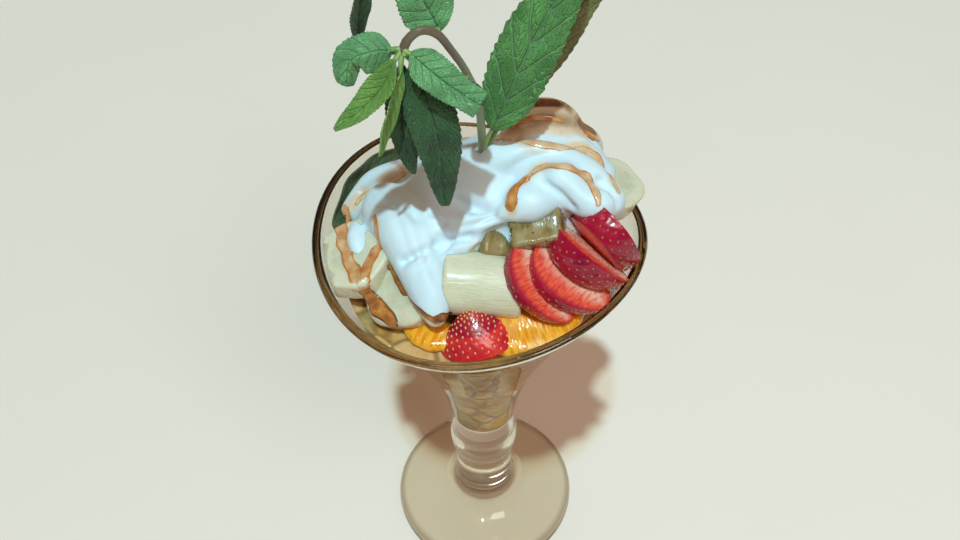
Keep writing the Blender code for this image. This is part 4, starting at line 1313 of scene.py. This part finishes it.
def make_leaf(name, spine, half_width, face, fold, ripple, blunt):
    leaf, along, across = leaf_grid(name + "_blade")
    curve = smooth_line(spine, SPINE_STEPS)
    ahead = np.gradient(curve, axis=0)
    side = unit_rows(np.cross(ahead, face))
    above = unit_rows(np.cross(side, ahead))
    centre, side, above = (rows_at(rows, along) for rows in (curve, side, above))
    width = half_width * leaf_width(along, blunt)
    fold = math.radians(fold)
    reach = across * width * np.where(np.abs(across) > 0.8, teeth(along), 1.0)
    rise = np.abs(across) * width * math.tan(fold)
    rise += ripple * np.abs(across) * np.sin(along * 8 * 1.9 + across)
    puffed = 1 - vein_depth(along, across)
    rise += PUFF * half_width * puffed * np.clip(1.3 - np.abs(across), 0, 1)
    place = centre + side * (reach * math.cos(fold))[:, None] + above * rise[:, None]
    set_points(leaf, place * MM)
    thicken(leaf, along, across)
    return leaf


# %% Leaves of the sprig: spine, half width, upper side, fold, ripple and width at the tip
LEAVES = [
    ("mint_leaf_1", [(-16.0, -12.8, 239.2), (-11.8, -14.2, 235.4), (-6.2, -16.2, 231.2),
     (0.8, -18.2, 226.8)], 6.0, (0.22, -0.60, 0.77), 8, 0.4, 0.55),
    ("mint_leaf_2", [(-9.0, -3.6, 239.4), (-11.3, -2.6, 244.2), (-14.6, -1.6, 251.0),
     (-17.5, 0.4, 259.1)], 7.0, (0.35, -0.85, 0.2), 14, 0.5, 0.1),
    ("mint_leaf_3", [(-20.6, -11.6, 239.6), (-25.0, -12.2, 239.6), (-30.8, -13.0, 237.6),
     (-32.6, -14.4, 231.2)], 6.0, (0.25, -0.75, 0.6), -28, 0.4, 0.3),
    ("mint_leaf_4", [(-30.0, -2.8, 236.4), (-29.3, -3.0, 243.6), (-27.6, -3.0, 251.2),
     (-25.0, -2.6, 258.8)], 3.6, (0.75, -0.6, 0.1), 18, 0.2, 0.1),
    ("mint_leaf_5", [(-19.8, -13.6, 238.2), (-22.6, -16.2, 232.6), (-28.2, -19.0, 227.4),
     (-35.6, -22.0, 223.0)], 4.2, (-0.3, -0.5, 0.8), 24, 0.2, 0.05),
    ("mint_leaf_6", [(-18.4, -14.8, 236.0), (-20.8, -17.2, 229.6), (-23.6, -19.2, 220.8),
     (-25.6, -20.2, 212.4)], 2.6, (0.75, -0.66, 0.0), 26, 0.2, 0.05),
    ("mint_leaf_7", [(-18.6, -9.4, 233.4), (-19.0, -10.8, 224.4), (-19.2, -13.0, 213.2),
     (-17.4, -14.6, 201.0)], 4.4, (-0.2, -0.95, 0.2), 10, 0.4, 0.1),
    ("mint_leaf_8", [(-15.6, -11.2, 235.6), (-12.4, -14.6, 225.8), (-9.8, -17.8, 211.4),
     (-9.2, -20.6, 194.6)], 6.6, (0.15, -0.97, -0.1), 12, 0.5, 0.1),
    ("mint_leaf_9", [(4.6, 4.2, 199.4), (9.0, 7.4, 208.8), (15.2, 12.6, 221.8),
     (23.6, 19.4, 235.0), (31.0, 27.0, 246.0)], 8.8, (-0.25, -0.86, 0.45), 10, 0.6, 0.1),
    ("mint_leaf_10", [(7.6, 9.4, 198.0), (15.6, 15.4, 208.6), (25.0, 23.4, 219.8),
     (34.4, 31.4, 228.6), (43.4, 39.0, 236.0)], 6.0, (0.55, -0.80, 0.2), 16, 0.5, 0.1),
    ("mint_leaf_11", [(-3.4, -4.4, 222.0), (-0.6, -6.4, 221.2), (2.2, -8.4, 219.4)], 2.6,
     (0.3, -0.7, 0.6), 8, 0.2, 0.2),
]
leaves = [(spec[0], make_leaf(*spec)) for spec in LEAVES]

leaf, along, across = leaf_grid("mint_leaf_in_glass_blade")
angle = np.radians(174 - 58 * along)
half = 7.0 * leaf_width(along, 0.2)
height = 156.4 + half * across * 0.84
ripple = 0.35 * np.sin(along * 12 * 1.7 + across * 2 + 2)
radius = outline_radius(INNER_OUTLINE, height) - 1.6 - ripple
radius -= 0.4 * (1 - vein_depth(along, across))
points = round_points(radius, angle, height)
points[:, 2] += rim_wave(points)
set_points(leaf, points)
thicken(leaf, along, across)
leaves.append(("mint_leaf_in_glass", leaf))


# %% Net of veins, shared by all the leaf finishes
def make_vein_net():
    group, given, out = new_group("vein net", {"Leaf": "Vector", "Pairs": "Float"},
                                  {"Veins": "Float", "Height": "Float"})
    parts = parts_of(group, given.outputs["Leaf"])
    across = calc(group, "ABSOLUTE", parts[0])
    midrib = spread(group, across, 0.07, 0.0)
    phase = calc(group, "FRACT", calc(group, "MULTIPLY", given.outputs["Pairs"], calc(
        group, "SUBTRACT", parts[1], calc(group, "MULTIPLY", across, 0.22))))
    side = spread(group, calc(group, "ABSOLUTE", calc(group, "SUBTRACT", phase, 0.5)), 0.12, 0.0)
    net_place = stretched(group, given.outputs["Leaf"], 6.0, 15.0, 1.0)
    net = add(group, "TexVoronoi", feature="DISTANCE_TO_EDGE", Vector=net_place, Scale=1.6)
    fine = calc(group, "MULTIPLY", spread(group, net.outputs[0], 0.12, 0.0), 0.6)
    veins = calc(group, "MAXIMUM", calc(group, "MAXIMUM", midrib, side), fine)
    group.links.new(veins, out.inputs["Veins"])
    group.links.new(calc(group, "SUBTRACT", 1.0, veins), out.inputs["Height"])
    return group


VEIN_NET = make_vein_net()


def leaf_finish(name, dark, light, vein, under):
    mat, tree, shader, place = new_finish(name, Roughness=0.5, IOR=1.4, Subsurface_Weight=0.1,
                                          Subsurface_Scale=0.001, Sheen_Weight=0.15)
    net = use(tree, VEIN_NET, Leaf=kept(tree, "leaf"), Pairs=VEIN_PAIRS).outputs
    blade, blade_height = patches(tree, place, dark, light, 110.0)
    top = blend(tree, calc(tree, "MULTIPLY", net["Veins"], 0.75), blade, vein)
    below = blend(tree, net["Veins"], under, vein)
    wire(tree, shader, Base_Color=blend(tree, kept(tree, "upper", "Fac"), below, top),
         Roughness=spread(tree, blade_height, 0.3, 0.7, 0.38, 0.6))
    bumpy(tree, shader, net["Height"], 0.0011, 0.8)
    return mat


LEAF_TONES = {
    "fresh": [(0.085, 0.27, 0.09), (0.17, 0.46, 0.16), (0.30, 0.62, 0.30), (0.12, 0.26, 0.10)],
    "middle": [(0.05, 0.17, 0.035), (0.10, 0.29, 0.065), (0.20, 0.42, 0.15), (0.12, 0.24, 0.08)],
    "dark": [(0.012, 0.052, 0.016), (0.030, 0.12, 0.032), (0.07, 0.18, 0.07), (0.12, 0.13, 0.05)],
    "young": [(0.13, 0.29, 0.035), (0.22, 0.44, 0.07), (0.30, 0.56, 0.16), (0.20, 0.36, 0.09)],
    "olive": [(0.08, 0.10, 0.02), (0.18, 0.17, 0.045), (0.28, 0.26, 0.10), (0.16, 0.15, 0.045)]}
LEAF_KINDS = {"4": "dark", "5": "young", "6": "young", "7": "dark", "8": "dark", "9": "middle",
              "10": "olive", "11": "dark", "in_glass": "dark"}
leaf_finishes = {kind: leaf_finish(kind + " mint", *tones) for kind, tones in LEAF_TONES.items()}
for node, leaf in leaves:
    kind = LEAF_KINDS.get(node.removeprefix("mint_leaf_"), "fresh")
    hand_over(leaf, leaf_finishes[kind], "mint", node)

# %% Stalk of the sprig
STEM_ROUTE = [(1.6, 7.6, 178.0), (1.4, 6.0, 194.0), (0.5, 3.0, 211.0), (-2.5, -2.0, 224.8),
              (-6.1, -6.0, 235.0), (-9.3, -8.0, 241.4), (-13.0, -9.6, 243.8),
              (-16.4, -10.8, 242.0), (-18.2, -12.0, 238.6)]


TUBE_STEPS = 200


def tube(name, route, radii, sides=16, rings=90, square=0.0):
    """A round or slightly square tube along a smooth route, in mm, closed at both ends."""
    obj = bar(name, sides, rings)
    code = points_of(obj)
    share = (code[:, 2] + 1) / 2
    line = smooth_line(route, TUBE_STEPS)
    ahead = unit_rows(np.gradient(line, axis=0))
    side = unit_rows(np.cross(ahead, (0.31, 0.9, 0.3)))
    other = np.cross(ahead, side)
    size = np.interp(share, np.linspace(0, 1, len(radii)), radii)
    turn = np.arctan2(code[:, 1], code[:, 0])
    size = size * (1 + square * np.cos(4 * turn)) * np.hypot(code[:, 0], code[:, 1])
    place = rows_at(line, share) + rows_at(side, share) * (size * np.cos(turn))[:, None]
    place += rows_at(other, share) * (size * np.sin(turn))[:, None]
    set_points(obj, place * MM)
    edit(obj, close_seams)
    obj.data.shade_smooth()
    return obj


def stalk_surface(tree, shader, pattern):
    """The gloss and the fine relief of a stalk, from one pattern."""
    wire(tree, shader, Roughness=spread(tree, pattern, 0.3, 0.7, 0.35, 0.6))
    bumpy(tree, shader, pattern, 0.0002, 0.6)


stem = tube("mint_stalk", STEM_ROUTE, [1.2, 1.2, 1.1, 1.15, 1.2, 1.1], square=0.08)
stem_finish, tree, shader, place = new_finish("mint stalk", Sheen_Weight=0.2, Coat_Weight=0.1)
height = parts_of(tree, place)[2]
streaks = clouds(tree, stretched(tree, place, 900.0, 900.0, 90.0), 1.0)
green = blend(tree, streaks, (0.12, 0.17, 0.08), (0.24, 0.28, 0.14))
brown = blend(tree, streaks, (0.08, 0.050, 0.030), (0.19, 0.14, 0.075))
wire(tree, shader, Base_Color=blend(tree, spread(tree, height, 0.222, 0.238), green, brown))
stalk_surface(tree, shader, streaks)
hand_over(stem, stem_finish, "mint_stem", "mint_stem")

# %% Short stalks that join the leaves to the stem
LEAF_STALKS = [
    [(-17.6, -11.6, 239.4), (-17.2, -12.3, 239.8), (-15.4, -13.0, 238.9)],
    [(-17.8, -11.7, 239.2), (-19.4, -11.8, 240.0), (-21.2, -11.6, 239.6)],
    [(-18.0, -11.8, 238.8), (-19.0, -12.8, 238.8), (-20.4, -14.2, 237.4)],
    [(-18.0, -12.0, 238.8), (-18.3, -13.4, 237.6), (-18.6, -15.2, 235.0)],
    [(-18.2, -11.8, 238.6), (-18.4, -10.6, 236.4), (-18.6, -9.6, 232.6)],
    [(-18.0, -11.8, 238.8), (-16.8, -11.6, 237.6), (-15.2, -11.6, 234.6)],
    [(-9.8, -8.2, 241.4), (-9.3, -5.8, 240.6), (-9.1, -3.4, 240.0)],
    [(-18.2, -11.4, 238.8), (-24.0, -7.5, 236.6), (-30.0, -2.9, 237.0)],
    [(1.4, 6.3, 189.5), (2.9, 5.5, 194.5), (4.9, 4.4, 200.4)],
    [(1.6, 6.8, 187.5), (4.4, 8.2, 192.6), (8.2, 9.6, 198.8)],
    [(-2.2, -1.8, 224.4), (-3.0, -3.2, 223.0), (-3.2, -4.6, 221.9)],
]
leaf_stalks = [tube("leaf_stalk_%d" % number, route, [0.9, 0.75, 0.5], sides=10, rings=10)
               for number, route in enumerate(LEAF_STALKS, 1)]
ball(mm(-18.1, -12.0, 238.8), mm(1.5, 1.3, 1.4), 24, 16)
bud = newest("bud")
uneven(bud, 0.5, 900.0)
leaf_stalks = join_pieces("leaf_stalks", leaf_stalks + [bud])
leaf_stalks.data.shade_smooth()
stalk_finish, tree, shader, place = new_finish("young stalk", Sheen_Weight=0.2, Coat_Weight=0.1)
pale, pale_height = patches(tree, place, (0.16, 0.28, 0.06), (0.30, 0.42, 0.13), 500.0)
wire(tree, shader, Base_Color=pale)
stalk_surface(tree, shader, pale_height)
hand_over(leaf_stalks, stalk_finish, "mint_stem")

# %% Remove the ring that trimmed the fruit at the wall
bpy.data.objects.remove(wall_ring)
